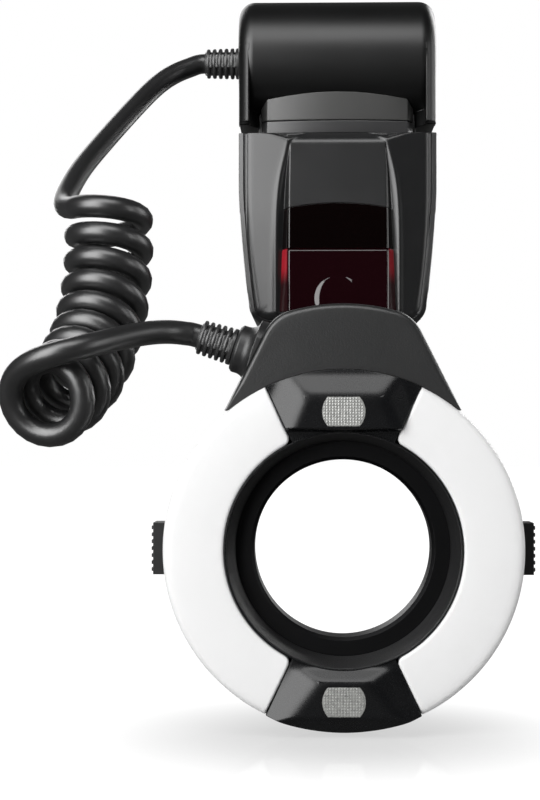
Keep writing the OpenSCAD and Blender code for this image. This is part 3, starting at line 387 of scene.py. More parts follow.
def modify(piece, kind, **settings):
    only(piece)
    modifier = piece.modifiers.new(kind.lower(), kind)
    for key, value in settings.items():
        setattr(modifier, key, value)
    bpy.ops.object.modifier_apply(modifier=modifier.name)


def thicken(piece, thick, angle):
    """Give a sheet its thickness, behind its face."""
    modify(piece, "SOLIDIFY", thickness=thick * MM, offset=-1)
    smooth(piece, angle)


def join(parts):
    """Parts joined into the first of them."""
    bpy.ops.object.select_all(action="DESELECT")
    for part in parts:
        part.select_set(True)
    bpy.context.view_layer.objects.active = parts[0]
    bpy.ops.object.join()
    return parts[0]


def finish_piece(piece, finish, replaces=(), body=BODY):
    paint(piece, finish)
    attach(piece, body)
    if replaces:
        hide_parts(*replaces)


RING_FRAME = Matrix.Translation((0, RING_Y * MM, RING_Z * MM)) @ Matrix.Rotation(math.pi / 2, 4, "X")


# Cord: one unbroken cable on the solids' route

CURL_LINE = [(-78.5, -86, 50), (-78, -87, 40), (-78, -89, 30.2), (-78.5, -92.3, 20.6), (-79.5, -97, 11.6),
             (-81, -103, 3.3), (-83.2, -110.3, -3.8), (-86, -118.5, -9.6), (-89.5, -127.3, -14),
             (-93.5, -136.5, -17)]
UPPER_ROUTE = [(-65.4, -9.5, 110.6), (-73.2, -20.5, 100.0), (-81.2, -36.0, 86.6), (-87.0, -48.5, 76.0),
               (-91.4, -60.5, 66.9), (-93.8, -71.0, 58.3)]
LOWER_ROUTE = [(-83.1, -144.0, -1.1), (-72.4, -135.5, 2.5), (-63.0, -125.0, 5.2), (-55.5, -117.2, 6.4)]
UPPER_END = np.array([-DRUM_HALF - 7.5, DRUM_Y, DRUM_Z])
GLAND_A = math.radians(17.4)
GLAND_DIR = np.array([-math.cos(GLAND_A), 0, math.sin(GLAND_A)])
GLAND_ROOT = np.array([-26.5, RING_Y + 13.0, RING_Z + 61.4])
LOWER_END = GLAND_ROOT + 14.2 * GLAND_DIR
CURL_RINGS = 8
CURL_FINE = 3
CURL_START = 165.0
CURL_COUNT = 73
LEAD_STEPS = 3
LEAD_FINE = 4
EASE_ROUNDS = 4
JOINT_STEPS = 24


def catmull(points, t):
    p = np.asarray(points, float)
    n = len(p) - 1
    i = min(int(t), n - 1)
    u = t - i
    b, c = p[i], p[i + 1]
    a = p[i - 1] if i > 0 else 2 * p[0] - p[1]
    d = p[i + 2] if i + 2 <= n else 2 * p[n] - p[n - 1]
    return 0.5 * (2 * b + (c - a) * u + (2 * a - 5 * b + 4 * c - d) * u * u
                  + (3 * b - a - 3 * c + d) * u ** 3)


def unit(v):
    return v / np.linalg.norm(v)


def curl_points():
    count = CURL_COUNT * CURL_FINE
    line = [catmull(CURL_LINE, (len(CURL_LINE) - 1) * k / count) for k in range(count + 1)]
    normal = np.array([1.0, 0, 0])
    points = []
    for k, point in enumerate(line):
        along = unit(line[min(k + 1, count)] - line[max(k - 1, 0)])
        normal = unit(normal - np.dot(normal, along) * along)
        turn = math.radians(CURL_START - 360 * k / (CURL_RINGS * CURL_FINE))
        points.append(point + CURL_R * (math.cos(turn) * normal + math.sin(turn) * np.cross(along, normal)))
    return points


def lead_points(a, da, route, b, db):
    """A straight start and end of one diameter, with the eased route between them."""
    knots = [a + CABLE_D * da, *[np.array(q, float) for q in route], b - CABLE_D * db]
    before = knots[1] - 2 * np.linalg.norm(knots[1] - knots[0]) * da
    after = knots[-2] + 2 * np.linalg.norm(knots[-1] - knots[-2]) * db
    count = LEAD_STEPS * (len(knots) - 1) + 1
    line = [catmull([before, *knots, after], 1 + k / LEAD_STEPS) for k in range(count)]
    line = [a, *line, b]
    for _ in range(EASE_ROUNDS):
        line = [q if k < 2 or k > len(line) - 3 else (line[k - 1] + 2 * q + line[k + 1]) / 4
                for k, q in enumerate(line)]
    return [catmull(line, k / LEAD_FINE) for k in range(LEAD_FINE * (len(line) - 1) + 1)]


def ease_joint(line, joint, before, after, pull_in, pull_out):
    """A lead and the curls joined by one smooth curve, from some points before the joint to some after it."""
    a, b = joint - before, joint + after
    start_at, end_at = line[a], line[b]
    span = np.linalg.norm(end_at - start_at)
    leave_by = pull_in * span * unit(line[a + 1] - line[a - 1])
    arrive_by = pull_out * span * unit(line[b + 1] - line[b - 1])
    curve = []
    for t in np.linspace(0, 1, JOINT_STEPS):
        curve.append((2 * t ** 3 - 3 * t ** 2 + 1) * start_at + (t ** 3 - 2 * t ** 2 + t) * leave_by
                     + (3 * t ** 2 - 2 * t ** 3) * end_at + (t ** 3 - t ** 2) * arrive_by)
    return [*line[:a], *curve, *line[b + 1:]]


def make_cord():
    curls = curl_points()
    first = unit(curls[CURL_FINE] - curls[0])
    last = unit(curls[-1] - curls[-1 - CURL_FINE])
    upper = lead_points(UPPER_END, np.array([-1.0, 0, 0]), UPPER_ROUTE, curls[0], first)
    lower = lead_points(curls[-1], last, LOWER_ROUTE, LOWER_END, -GLAND_DIR)
    line = [*upper, *curls[1:], *lower[1:]]
    line = ease_joint(line, len(upper) + len(curls) - 2, before=3, after=21, pull_in=1.0, pull_out=1.5)
    line = ease_joint(line, len(upper) - 1, before=13, after=1, pull_in=1.5, pull_out=1.0)
    data = bpy.data.curves.new("curled_cord", "CURVE")
    data.dimensions = "3D"
    data.twist_mode = "MINIMUM"
    data.bevel_depth = CABLE_D / 2 * MM
    data.bevel_resolution = 6
    data.use_fill_caps = True
    spline = data.splines.new("POLY")
    spline.points.add(len(line) - 1)
    for point, place in zip(spline.points, line):
        point.co = (*(place * MM), 1)
    spline.use_smooth = True
    cord = bpy.data.objects.new("curled_cord", data)
    bpy.context.scene.collection.objects.link(cord)
    length = sum(np.linalg.norm(q - p) for p, q in zip(line, line[1:])) * MM
    finish_piece(cord, "cable", ("cord_upper_lead", "cord_curls", "cord_lower_lead"))


make_cord()


# Front cover: pads, valleys and brow as one sheet, with the two windows set into its strip

WELL_HALF = 15.5
WELL_LOW = 20.5
WELL_TOP = 55.3
WINDOW_BACK = -27.2
LENS_Z = 23.6
LENS_R = 8.6
LENS_CROWN = 0.6
CORNER_X = 25.04
CORNER_Z = 22.0
CORNER_R = 8.0
SIDE_HALF = 37.4
SIDE_BOW = 940
STRIP_FRONT = 28.9
STRIP_RISE = 5.6
STRIP_FLARE = 0.05
STRIP_LEAN = 0.5
PAD_FRONT = 29.0
PAD_FROM = 19.0
PAD_TILT = 0.17
RIDGE_TOP = 16.3
RIDGE_SPREAD = 5.9
RIDGE_RUN = 13
BEAD_HEIGHT = 0.4
BEAD_WIDTH = 1.3
VALLEY_FRONT = 28.4
BRIM_Z = 83.0
BRIM_R = 3.0
SHELL_FRONT = 21.6
SHELL_R = 5.0
RIM_IN = 1.85
GROOVE_FROM = 1.95
GROOVE_TO = 2.35


def soft_min(a, b, k):
    h = np.maximum(k - np.abs(a - b), 0) / k
    return np.minimum(a, b) - h * h * k / 4


def soft_max(a, b, k):
    return -soft_min(-a, -b, k)


def quarter(over, radius):
    """Height left on a quarter round, so far over its start."""
    return np.sqrt(radius ** 2 + 0.01 - np.clip(over, 0, radius) ** 2)


def case_edge(z):
    """Half width of the case, before its lower corners are rounded."""
    upper = np.minimum(SIDE_HALF - (CASE_TOP - z) ** 2 / SIDE_BOW, CASE_HALF)
    return np.where(z >= CORNER_Z, upper, CORNER_X + CORNER_R)


def round_corners(x, z):
    """Square lower corners drawn in to quarter circles."""
    a = np.maximum(np.abs(x) - CORNER_X, 0)
    b = np.maximum(CORNER_Z - z, 0)
    corner = (a > 0) & (b > 0)
    pull = np.where(corner, np.maximum(a, b) / np.maximum(np.hypot(a, b), 1e-6), 1)
    x = np.where(corner, np.sign(x) * (CORNER_X + a * pull), x)
    z = np.where(corner, CORNER_Z - b * pull, z)
    return x, z


def arch(x):
    return SENSOR_TOP - ARCH_R + np.sqrt(ARCH_R ** 2 - np.minimum(np.abs(x), ARCH_HALF) ** 2)


def strip_rise(z):
    """How far the strip stands ahead of its top; it grows toward the foot."""
    return STRIP_RISE * (np.maximum(STRIP_TOP - z, 0) / STRIP_SPAN) ** 1.3


def strip_foot(z):
    return STRIP_HALF + STRIP_FLARE * (STRIP_TOP - z)


def strip_edge(z):
    return strip_foot(z) - STRIP_LEAN * strip_rise(z)


def strip_height(x, z):
    front = STRIP_FRONT + strip_rise(z)
    side = STRIP_FRONT - (np.abs(x) - strip_foot(z)) / STRIP_LEAN
    top = STRIP_FRONT - 1.15 * (z - 83.2)
    return soft_min(soft_min(front, side, 1.3), top, 2.0)


def pad_ridge(z):
    """Distance of a pad's inner ridge from the middle; at the top it runs in to the strip."""
    below = np.maximum(83.7 - z, 0)
    return RIDGE_TOP + RIDGE_SPREAD * (1 - np.exp(-(below / RIDGE_RUN) ** 1.4))


def pad_height(x, z):
    """Tilted pad with a soft bead along its inner ridge, a rounded top and a valley beside the strip."""
    x = np.abs(x)
    ridge = pad_ridge(z)
    pad = PAD_FRONT - PAD_TILT * (x - PAD_FROM)
    pad = pad + BEAD_HEIGHT * np.exp(-((x - ridge - 0.3) / BEAD_WIDTH) ** 2)
    dip = 1.5 * np.exp(-((x - 18) / 5.0) ** 2)
    top = 26.5 + quarter(z + dip - BRIM_Z, BRIM_R)
    valley = VALLEY_FRONT - 0.5 * (ridge - x)
    return soft_min(soft_min(pad, top, 0.6), valley, 0.7)


def shell_corner(x):
    """How far forward the rear shell's rounded front corner reaches."""
    return SHELL_FRONT + quarter(np.abs(x) - (CASE_HALF - SHELL_R), SHELL_R)


def bordered(height, x, z, d, edge):
    """The cover's border at a distance d from its edge: soft shoulder, groove and bevelled rim."""
    seat = shell_corner(edge - RIM_IN)
    rim = np.maximum(seat + 0.5 - 0.42 * (RIM_IN - d), shell_corner(x) + 0.1)
    shoulder = soft_min(height, seat + 1.15 * (d - GROOVE_TO), 1.6)
    out = np.where(d > GROOVE_TO, shoulder, np.where(d > GROOVE_FROM, seat - 0.1, rim))
    out = np.where(d < 0.15, out - 0.7, out)
    chin = 0.6 * (SHELL_R - quarter(CASE_LOW + SHELL_R - z, SHELL_R))
    brim = np.where(z > BRIM_Z, 26.1 + quarter(z - BRIM_Z, BRIM_R), out)
    return np.minimum(out - chin, brim)


def cover_height(x, z):
    pads = pad_height(x, z)
    brow = soft_max(pads, strip_height(x, z), 0.3)
    return np.where(z > arch(x) - 0.02, brow, pads)


def stations(stops, counts):
    """Points between stops, so many to each stretch; stops may be arrays."""
    out = [stops[0]]
    for a, b, n in zip(stops, stops[1:], counts):
        out += [a + (b - a) * k / n for k in range(1, n + 1)]
    return out


def sheet(name, x, y, z, matrix=None):
    """A grid whose points go to the given millimetre places, rows by columns."""
    rows, columns = x.shape
    piece = start("grid", name, x_subdivisions=columns - 1, y_subdivisions=rows - 1, size=2)
    flat = np.empty(len(piece.data.vertices) * 3)
    piece.data.vertices.foreach_get("co", flat)
    flat = flat.reshape(-1, 3)
    i = np.rint((flat[:, 0] + 1) / 2 * (columns - 1)).astype(int)
    j = np.rint((flat[:, 1] + 1) / 2 * (rows - 1)).astype(int)
    placed = np.stack([x[j, i], y[j, i], z[j, i]], axis=1) * MM
    piece.data.vertices.foreach_set("co", placed.ravel())
    piece.data.update()
    settle(piece, matrix)
    return piece


def mirror_columns(half):
    return np.concatenate([-half[:, :0:-1], half], axis=1)


def make_front_cover():
    border = [0.05, 0.25, 1.0, 1.85, 2.05, 2.3, 2.4, 2.45, 2.6, 2.9, 3.3, 3.8, 4.4, 5.0]
    low = [CASE_LOW + d for d in border]
    brow_low, brow_top = 59.2, 82.0
    stops = [low[-1], WELL_LOW, WELL_TOP, brow_low, SENSOR_TOP, brow_top, CASE_TOP, CASE_TOP]
    z0 = np.array([low[0], *low, *stations(stops, [3, 56, 8, 1, 46, 20, 1])[1:]])
    follow = np.interp(z0, [WELL_TOP, SENSOR_TOP, brow_top], [0, 1, 0])
    half = case_edge(z0)
    inner = strip_edge(z0)
    crest = inner + 0.5
    foot = np.maximum(strip_foot(z0) + 0.5, crest + 0.3)
    ridge = np.maximum(pad_ridge(z0) + 0.2, foot + 0.3)
    bead = np.maximum(pad_ridge(z0) + 3.2, ridge + 1.5)
    zero = np.zeros_like(z0)
    columns = stations([zero, zero + WELL_HALF, inner - 0.9, crest, foot, ridge, bead, half - border[-1]],
                       [18, 3, 10, 6, 8, 12, 8])
    columns += [half - d for d in reversed(border[:-1])] + [half - border[0]]
    x = mirror_columns(np.array(columns).T)
    z = z0[:, None] + follow[:, None] * (arch(x) - SENSOR_TOP)
    inward = np.minimum(half[:, None] - np.abs(x), z0[:, None] - CASE_LOW)
    y = -bordered(cover_height(x, z), x, z, inward, half[:, None])
    y[0] = SEAM_Y
    y[-1] = SEAM_Y - 0.4
    y[:, 0] = y[:, -1] = SEAM_Y + 0.5
    y[0, 0] = y[0, -1] = y[-1, 0] = y[-1, -1] = SEAM_Y + 0.8
    x, z = round_corners(x, z)
    cover = sheet("front_cover_moulding", x, y, z)
    edit(cover)
    mesh = bmesh.from_edit_mesh(cover.data)
    for face in mesh.faces:
        middle = face.calc_center_median() / MM
        face.select = abs(middle.x) < WELL_HALF and WELL_LOW < middle.z < WELL_TOP
    bmesh.update_edit_mesh(cover.data)
    bpy.ops.mesh.delete(type="FACE")
    leave()
    thicken(cover, 0.6, 38)
    finish_piece(cover, "case", ["front_cover"])


def window_sheet(name, z_low, z_top, rows, lift):
    """One window of the strip: a lid with its edges turned down; z_top may follow the arch."""
    v = np.array(stations([0.0, 0.0, 0.06, 0.94, 1.0, 1.0], [1, 4, rows, 4, 1]))
    guess = z_low + v * (z_top(0.0) - z_low)
    edge = strip_edge(guess)
    foot = strip_foot(guess) + 0.75
    x = np.array(stations([0 * foot, edge - 0.9, edge + 0.6, foot, foot], [44, 10, 5, 1])).T
    x = mirror_columns(x)
    z = z_low + v[:, None] * (z_top(x) - z_low)
    y = -lift(x, z)
    y[0] = y[-1] = WINDOW_BACK
    y[:, 0] = y[:, -1] = WINDOW_BACK
    piece = sheet(name, x, y, z)
    thicken(piece, 0.9, 35)
    return piece


def sensor_lift(x, z):
    return strip_height(x, z) - 0.04


def filter_lift(x, z):
    """Filter face with a round lens, whose left and right flanks roll down to its edge."""
    high = np.clip((z - LENS_Z) / LENS_R, -1, 1)
    chord = LENS_R * np.sqrt(np.maximum(1 - high ** 2, 1e-4))
    lens = LENS_CROWN * (1 - np.minimum(np.abs(x) / chord, 1) ** 6) * (1 - high ** 2)
    lip = np.maximum(z - (SENSOR_LOW - 0.75), 0) * 0.9
    return strip_height(x, z) + lens * np.clip((z - STRIP_LOW) / 2.5, 0, 1) - lip


def make_windows():
    sensor = window_sheet("sensor_window_lid", SENSOR_LOW + 0.12, lambda x: arch(x) - 0.16, 26, sensor_lift)
    finish_piece(sensor, "sensor", ["sensor_window"])
    top = SENSOR_LOW - 0.12
    red = window_sheet("focus_lamp_filter", STRIP_LOW + 0.1, lambda x: top + 0 * x, 60, filter_lift)
    finish_piece(red, "red", ["af_window"])


def make_swivel_base():
    """Low dark block between the head's two arms, on the case's top."""
    middle = (0, 1.5, CASE_TOP + 5.4)
    base = cube("swivel_base", (60.2, 24, 11))
    bpy.ops.transform.translate(value=tuple(p * MM for p in middle))
    bpy.ops.mesh.select_all(action="DESELECT")
    mesh = bmesh.from_edit_mesh(base.data)
    for face in mesh.faces:
        face.select = face.normal.z > 0.9
    bmesh.update_edit_mesh(base.data)
    bpy.ops.mesh.inset(thickness=1.2 * MM)
    bpy.ops.transform.translate(value=(0, 0, 0.8 * MM))
    leave()
    modify(base, "BEVEL", width=0.5 * MM, segments=3, limit_method="ANGLE", angle_limit=math.radians(25))
    smooth(base, 40)
    finish_piece(base, "dark")


make_front_cover()
make_windows()
make_swivel_base()


# Shells that keep the solids' form, with their edges eased

def body_of(name):
    return NODE[name]["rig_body"]


END_ROUND = 6.0
END_FROM = DRUM_HALF - END_ROUND
END_CUTS = (0.0, 0.9, 1.8, 2.4)
ARM_INNER = 33.0
ARM_OUTER = 36.95
ARM_LOW = 90.45
ARM_BACK = -12.0
CHEEK_X = 33.4
JOIN_ANGLE = math.radians(0.6)
EDGE_ANGLE = math.radians(30)


def end_radius(x):
    """Radius of the round head near its ends, with their wide rounding."""
    over = np.clip(np.abs(x) - END_FROM, 0, END_ROUND)
    return DRUM_R - END_ROUND + np.sqrt(np.maximum(END_ROUND ** 2 - over ** 2, 0))


def round_ends(piece):
    """In edit mode, narrow the arms' fronts and round the end corners; behind, only above the axis."""
    bpy.ops.mesh.select_all(action="SELECT")
    bpy.ops.mesh.bisect(plane_co=(0, ARM_BACK * MM, 0), plane_no=(0, 1, 0))
    mesh = bmesh.from_edit_mesh(piece.data)
    for vertex in mesh.verts:
        x, y, z = vertex.co / MM
        on_cheek = y < ARM_BACK - 0.5 and z < 106 and 29.5 < abs(x) < 31
        if on_cheek and math.hypot(y - DRUM_Y, z - DRUM_Z) > DRUM_R - 0.1:
            vertex.co.x = math.copysign(CHEEK_X * MM, x)
    bmesh.update_edit_mesh(piece.data)
    for cut in END_CUTS:
        for side in (-1, 1):
            bpy.ops.mesh.select_all(action="SELECT")
            bpy.ops.mesh.bisect(plane_co=(side * (END_FROM + cut) * MM, 0, 0), plane_no=(1, 0, 0))
    mesh = bmesh.from_edit_mesh(piece.data)
    for vertex in mesh.verts:
        x, y, z = vertex.co / MM
        r = math.hypot(y - DRUM_Y, z - DRUM_Z)
        limit = float(end_radius(x))
        if limit < r < DRUM_R + 0.05:
            share = 1.0 if y < DRUM_Y else min(max((z - DRUM_Z + 5) / 5, 0), 1)
            k = 1 + share * (limit / r - 1)
            vertex.co = Vector((x, DRUM_Y + (y - DRUM_Y) * k, DRUM_Z + (z - DRUM_Z) * k)) * MM
    bmesh.update_edit_mesh(piece.data)
    bpy.ops.mesh.select_all(action="SELECT")


def make_arm(name, side):
    """Front of one of the head's arms: it runs straight down from the round end."""
    edge, foot = 0.8, 0.75
    bend, top = ARM_LOW + foot, DRUM_Z + 3
    z = np.array(stations([ARM_LOW, ARM_LOW, bend, DRUM_Z, top, top], [1, 5, 30, 6, 1]))
    x = np.array(stations([ARM_INNER, ARM_INNER, ARM_INNER + edge, ARM_OUTER, 37.1], [1, 6, 24, 1]))
    over = np.maximum(z - DRUM_Z, 0)[:, None]
    front = np.sqrt(np.maximum(end_radius(x)[None, :] ** 2 - over ** 2, 0)) + 0.08
    inward = np.clip(ARM_INNER + edge - x, 0, edge)
    below = np.clip(bend - z, 0, foot)
    front = front - (edge - np.sqrt(edge ** 2 - inward ** 2))[None, :] * (over < 0.01)
    front = front - (foot - np.sqrt(foot ** 2 - below ** 2))[:, None]
    front[0] = 18.8
    front[-1] -= 0.6
    front[:, 0] = 19.0
    front[:, -1] = 12.0
    front[0, 0] = front[0, -1] = 11.0
    x = np.repeat(side * x[None, :], len(z), axis=0)
    z = np.repeat(z[:, None], x.shape[1], axis=1)
    order = slice(None, None, side)
    arm = sheet(name, x[:, order], (DRUM_Y - front)[:, order], z[:, order])
    thicken(arm, 0.4, 40)
    finish_piece(arm, "head")


def dressed(name, finish, width, segments=2, shape=None):
    """A copy of a solid with its flat faces joined and its edges rounded; shape alters it in between."""
    mesh = NODE[name].data.copy()
    mesh.materials.clear()
    piece = bpy.data.objects.new(name + "_shell", mesh)
    bpy.context.scene.collection.objects.link(piece)
    settle(piece, NODE[name].matrix_world.copy())
    bpy.ops.mesh.customdata_custom_splitnormals_clear()
    bpy.ops.object.mode_set(mode="EDIT")
    bpy.ops.mesh.select_all(action="SELECT")
    bpy.ops.mesh.remove_doubles(threshold=2e-6)
    bpy.ops.mesh.dissolve_limited(angle_limit=JOIN_ANGLE)
    if shape:
        shape(piece)
    leave()
    modify(piece, "BEVEL", width=width * MM, segments=segments, limit_method="ANGLE",
           angle_limit=EDGE_ANGLE, use_clamp_overlap=False)
    smooth(piece, 32)
    modify(piece, "WEIGHTED_NORMAL", keep_sharp=True)
    finish_piece(piece, finish, [name], body_of(name))


def dress_shells():
    dressed("rear_shell", "case", 0.35)
    dressed("battery_door", "case", 0.3)
    dressed("neck_collar", "collar", 0.4)
    dressed("neck_saddle", "saddle", 0.5)
    dressed("head_front_shell", "head", 0.25, shape=round_ends)
    dressed("head_rear_shell", "head", 0.25, shape=round_ends)
    dressed("foot_pedestal", "case", 0.4)
    dressed("cord_gland", "ring", 0.25)
    dressed("lock_ring", "dark", 0.18)
    dressed("power_switch", "dark", 0.2)
    for name in ("mode", "ratio", "lamp", "minus", "select", "plus"):
        dressed(name + "_button", "keys", 0.4, 3)
    dressed("pilot_button", "pilot", 0.4, 3)


dress_shells()
make_arm("left_arm_face", -1)
make_arm("right_arm_face", 1)


# Marks on the keys and segments on the display

def legend(name, bars, centre, finish, body):
    """Thin raised bars on a face that looks backwards; each bar is (x, z, width, height, turn)."""
    parts = []
    for x, z, width, height, turn in bars:
        part = cube(name, (width, 0.24, height))
        bpy.ops.mesh.bevel(offset=0.06 * MM, segments=2, affect="EDGES")
        bpy.ops.transform.rotate(value=math.radians(turn), orient_axis="Y", center_override=(0, 0, 0))
        bpy.ops.transform.translate(value=((centre[0] - x) * MM, centre[1] * MM, (centre[2] + z) * MM))
        leave()
        parts.append(part)
    piece = join(parts)
    settle(piece)
    smooth(piece, 40)
    finish_piece(piece, finish, (), body)


def key_face(node):
    """Middle of a key's outer face, sunk so that a mark stands just proud of it."""
    low, high = (Vector(corner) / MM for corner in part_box(node))
    return ((low.x + high.x) / 2, high.y - 0.05, (low.z + high.z) / 2)


def make_key_marks():
    cross = [(0, 0, 4.4, 0.8, 0), (0, 0, 4.4, 0.8, 90)]
    box = [(0, 1.6, 4.0, 0.6, 0), (0, -1.6, 4.0, 0.6, 0), (1.7, 0, 0.6, 3.8, 0), (-1.7, 0, 0.6, 3.8, 0)]
    rays = []
    for degree in range(0, 360, 45):
        angle = math.radians(degree)
        rays.append((2.1 * math.cos(angle), 2.1 * math.sin(angle), 1.1, 0.5, -degree))
    marks = {
        "plus": cross,
        "minus": cross[:1],
        "select": box,
        "mode": [(-2.4, 0, 0.8, 2.4, 0), (0, 0, 0.8, 2.4, 0), (2.4, 0, 0.8, 2.4, 0)],
        "ratio": [(-2.2, 0, 2.0, 2.0, 0), (2.2, 0, 2.0, 2.0, 45)],
        "lamp": [(0, 0, 1.4, 1.4, 45), *rays],
    }
    for key, bars in marks.items():
        node = key + "_button"
        legend(key + "_mark", bars, key_face(node), "mark", body_of(node))


def make_display_segments():
    """Two seven-bar figures, a scale of short bars and a rule."""
    bars = [(0, -5.6, 40, 0.35, 0)]
    bars += [(-18 + 3 * k, -8.2, 0.7, 3.2 if k % 3 == 0 else 1.9, 0) for k in range(13)]
    for middle in (-14.5, -6.0):
        bars += [(middle, 2.6 + dz, 4.6, 0.9, 0) for dz in (-5.2, 0, 5.2)]
        bars += [(middle + dx, 2.6 + dz, 0.9, 4.2, 0) for dx in (-2.9, 2.9) for dz in (-2.6, 2.6)]
    bars += [(4 + 3.4 * k, 6.4, 2.4, 2.4, 0) for k in range(5)]
    bars += [(4 + 3.4 * k, -0.6, 2.0, 1.2 + 0.9 * k, 0) for k in range(5)]
    legend("display_segments", bars, key_face("lcd_window"), "segment", body_of("lcd_window"))


make_key_marks()
make_display_segments()


# Turned and moulded pieces of the ring head

def turned(name, profile, steps, closed=False):
    """Rings drawn out of a circle along (radius, height) pairs; closed joins the last ring to the first."""
    (r0, z0), rest = profile[0], profile[1:]
    fill = "NOTHING" if closed else "NGON"
    piece = start("circle", name, vertices=steps, radius=r0 * MM, fill_type=fill, location=(0, 0, z0 * MM))
    settle(piece)
    edit(piece)
    bpy.ops.mesh.select_mode(type="EDGE")
    bpy.ops.mesh.select_all(action="SELECT")
    r, z = r0, z0
    for r1, z1 in rest:
        bpy.ops.mesh.extrude_region_move(TRANSFORM_OT_translate={"value": (0, 0, (z1 - z) * MM)})
        bpy.ops.transform.resize(value=(r1 / r, r1 / r, 1), center_override=(0, 0, z1 * MM))
        r, z = r1, z1
    if closed:
        bpy.ops.mesh.select_all(action="DESELECT")
        edges = bmesh.from_edit_mesh(piece.data)
        for edge in edges.edges:
            edge.select = len(edge.link_faces) == 1
        edges.select_flush_mode()
        bmesh.update_edit_mesh(piece.data)
        bpy.ops.mesh.bridge_edge_loops()
    bpy.ops.mesh.select_all(action="SELECT")
    bpy.ops.mesh.normals_make_consistent(inside=False)
    leave()
    return piece


def make_groove_liner():
    """Thin sleeve with fine concentric grooves on the ring's tapered inner wall."""
    low, high, ridges = -11.2, -1.0, 17
    bore_low, bore_r, taper = -11.5, 34.15, 2.6 / 10.8

    def wall(z):
        return bore_r + (z - bore_low) * taper

    profile = [(wall(low) + 0.3, low)]
    for k in range(2 * ridges + 1):
        z = low + (high - low) * k / (2 * ridges)
        profile.append((wall(z) - (0.06 if k % 2 else 0.24), z))
    profile.append((wall(high) + 0.3, high))
    liner = turned("groove_liner", profile, 160, closed=True)
    settle(liner, RING_FRAME)
    smooth(liner, 20)
    finish_piece(liner, "bore")


def make_diffuser(name, side, node):
    """Opal cover of one flash tube: half a ring with a bowed face and rounded corners."""
    inner, outer, low = HOLE_R + 0.6, RING_R, -4.6
    inside, corner, bow = 1.2, 2.4, 0.3
    bend = [math.radians(a) for a in range(0, 91, 15)]
    profile = [(inner, low)]
    profile += [(inner + inside - inside * math.cos(a), inside * math.sin(a) - bow - inside) for a in bend]
    middle = (inner + outer) / 2
    profile += [(r, -bow * ((r - middle) / (middle - inner - inside)) ** 2)
                for r in np.linspace(inner + inside, outer - corner, 22)[1:-1]]
    profile += [(outer - corner + corner * math.sin(a), corner * math.cos(a) - bow - corner) for a in bend]
    profile += [(outer, low)]
    r = np.array([p[0] for p in profile])
    top = np.array([p[1] for p in profile])
    into = np.clip(corner - (r - inner), 0, corner)
    inset = 0.25 + corner - np.sqrt(corner ** 2 - into ** 2)
    half = math.radians(90 - BRIDGE_A) - inset / r
    w = np.array(stations([-1.0, -1.0, -0.97, 0.97, 1.0, 1.0], [1, 6, 90, 6, 1]))
    angle = w[:, None] * half[None, :]
    edge = 0.9
    reach = np.clip((1 - np.abs(w))[:, None] * half * r, 0, edge)
    fall = edge - np.sqrt(edge ** 2 - (edge - reach) ** 2)
    z = np.maximum(top[None, :] - fall, low)
    z[0] = z[-1] = low - 0.3
    x = side * r * np.cos(angle)
    y = r * np.sin(angle)
    order = slice(None, None, side)
    cover = sheet(name, x[:, order], y[:, order], z[:, order], RING_FRAME)
    thicken(cover, 1.4, 50)
    finish_piece(cover, "opal", [node])


BOSS_TOP = 2.5
BRIDGE_TOP = -1.4
BRIDGE_SKIRT = -3.4
SKIN_LIFT = 0.3


def boss_height(x, y, flat, half, slope):
    """Raised lamp boss: a flat between four soft-edged facets; flat and half run from low to high y."""
    lean = math.atan2(half[0] - half[1], flat[1] - flat[0])
    off = (np.abs(x) - half[1]) * math.cos(lean) + (y - flat[1]) * math.sin(lean)
    sides = BOSS_TOP - 0.42 * off
    over = BOSS_TOP - (y - flat[1]) / slope[1]
    under = BOSS_TOP - (flat[0] - y) / slope[0]
    return soft_min(soft_min(soft_min(BOSS_TOP + 0 * x, sides, 1.0), over, 1.0), under, 0.8)


def make_bridge(name, turn, flat, half, slope):
    """Soft-edged skin of one bridge between the diffusers, with its lamp boss."""
    inner, outer, reach = HOLE_R + 0.35, RING_R - 0.1, BRIDGE_A - 0.12
    radius = np.array(stations([inner, inner, outer, outer], [1, 70, 1]))
    angle = np.radians(np.array(stations([reach, reach, -reach, -reach], [1, 100, 1])))
    x = radius[:, None] * np.sin(-angle)[None, :]
    y = turn * radius[:, None] * np.cos(angle)[None, :]
    z = soft_max(boss_height(x, y, flat, half, slope), BRIDGE_TOP + 0 * x, 1.0) + SKIN_LIFT
    z[0] = z[-1] = BRIDGE_SKIRT
    z[:, 0] = z[:, -1] = BRIDGE_SKIRT
    order = slice(None, None, turn)
    skin = sheet(name, x[:, order], y[:, order], z[:, order], RING_FRAME)
    thicken(skin, 0.2, 40)
    finish_piece(skin, "bridge")


def make_lamp_window(name, centre, node):
    """Barrel-shaped clear window, its face pressed into small pyramids."""
    half, radius, pitch = 4.55, 6.7, 0.91
    face, relief, skirt = 2.95, 0.35, 0.2
    v = np.array(stations([-1.0, -1.0, 1.0, 1.0], [1, 64, 1]))
    u = np.array(stations([-1.0, -1.0, 1.0, 1.0], [1, 96, 1]))
    y = np.repeat(v[:, None] * half, len(u), axis=1)
    x = u[None, :] * np.sqrt(radius ** 2 - y ** 2)
    cell_x = np.abs((x / pitch) % 1 - 0.5)
    cell_y = np.abs((y / pitch) % 1 - 0.5)
    rim = np.clip(np.minimum(1 - np.abs(u)[None, :], 1 - np.abs(v)[:, None]) * 9, 0, 1)
    z = face + relief * rim * np.minimum(0.5 - cell_x, 0.5 - cell_y)
    z[0] = z[-1] = skirt
    z[:, 0] = z[:, -1] = skirt
    window = sheet(name, x, y + centre, z, RING_FRAME)
    thicken(window, 0.5, 12)
    finish_piece(window, "lamp", [node])


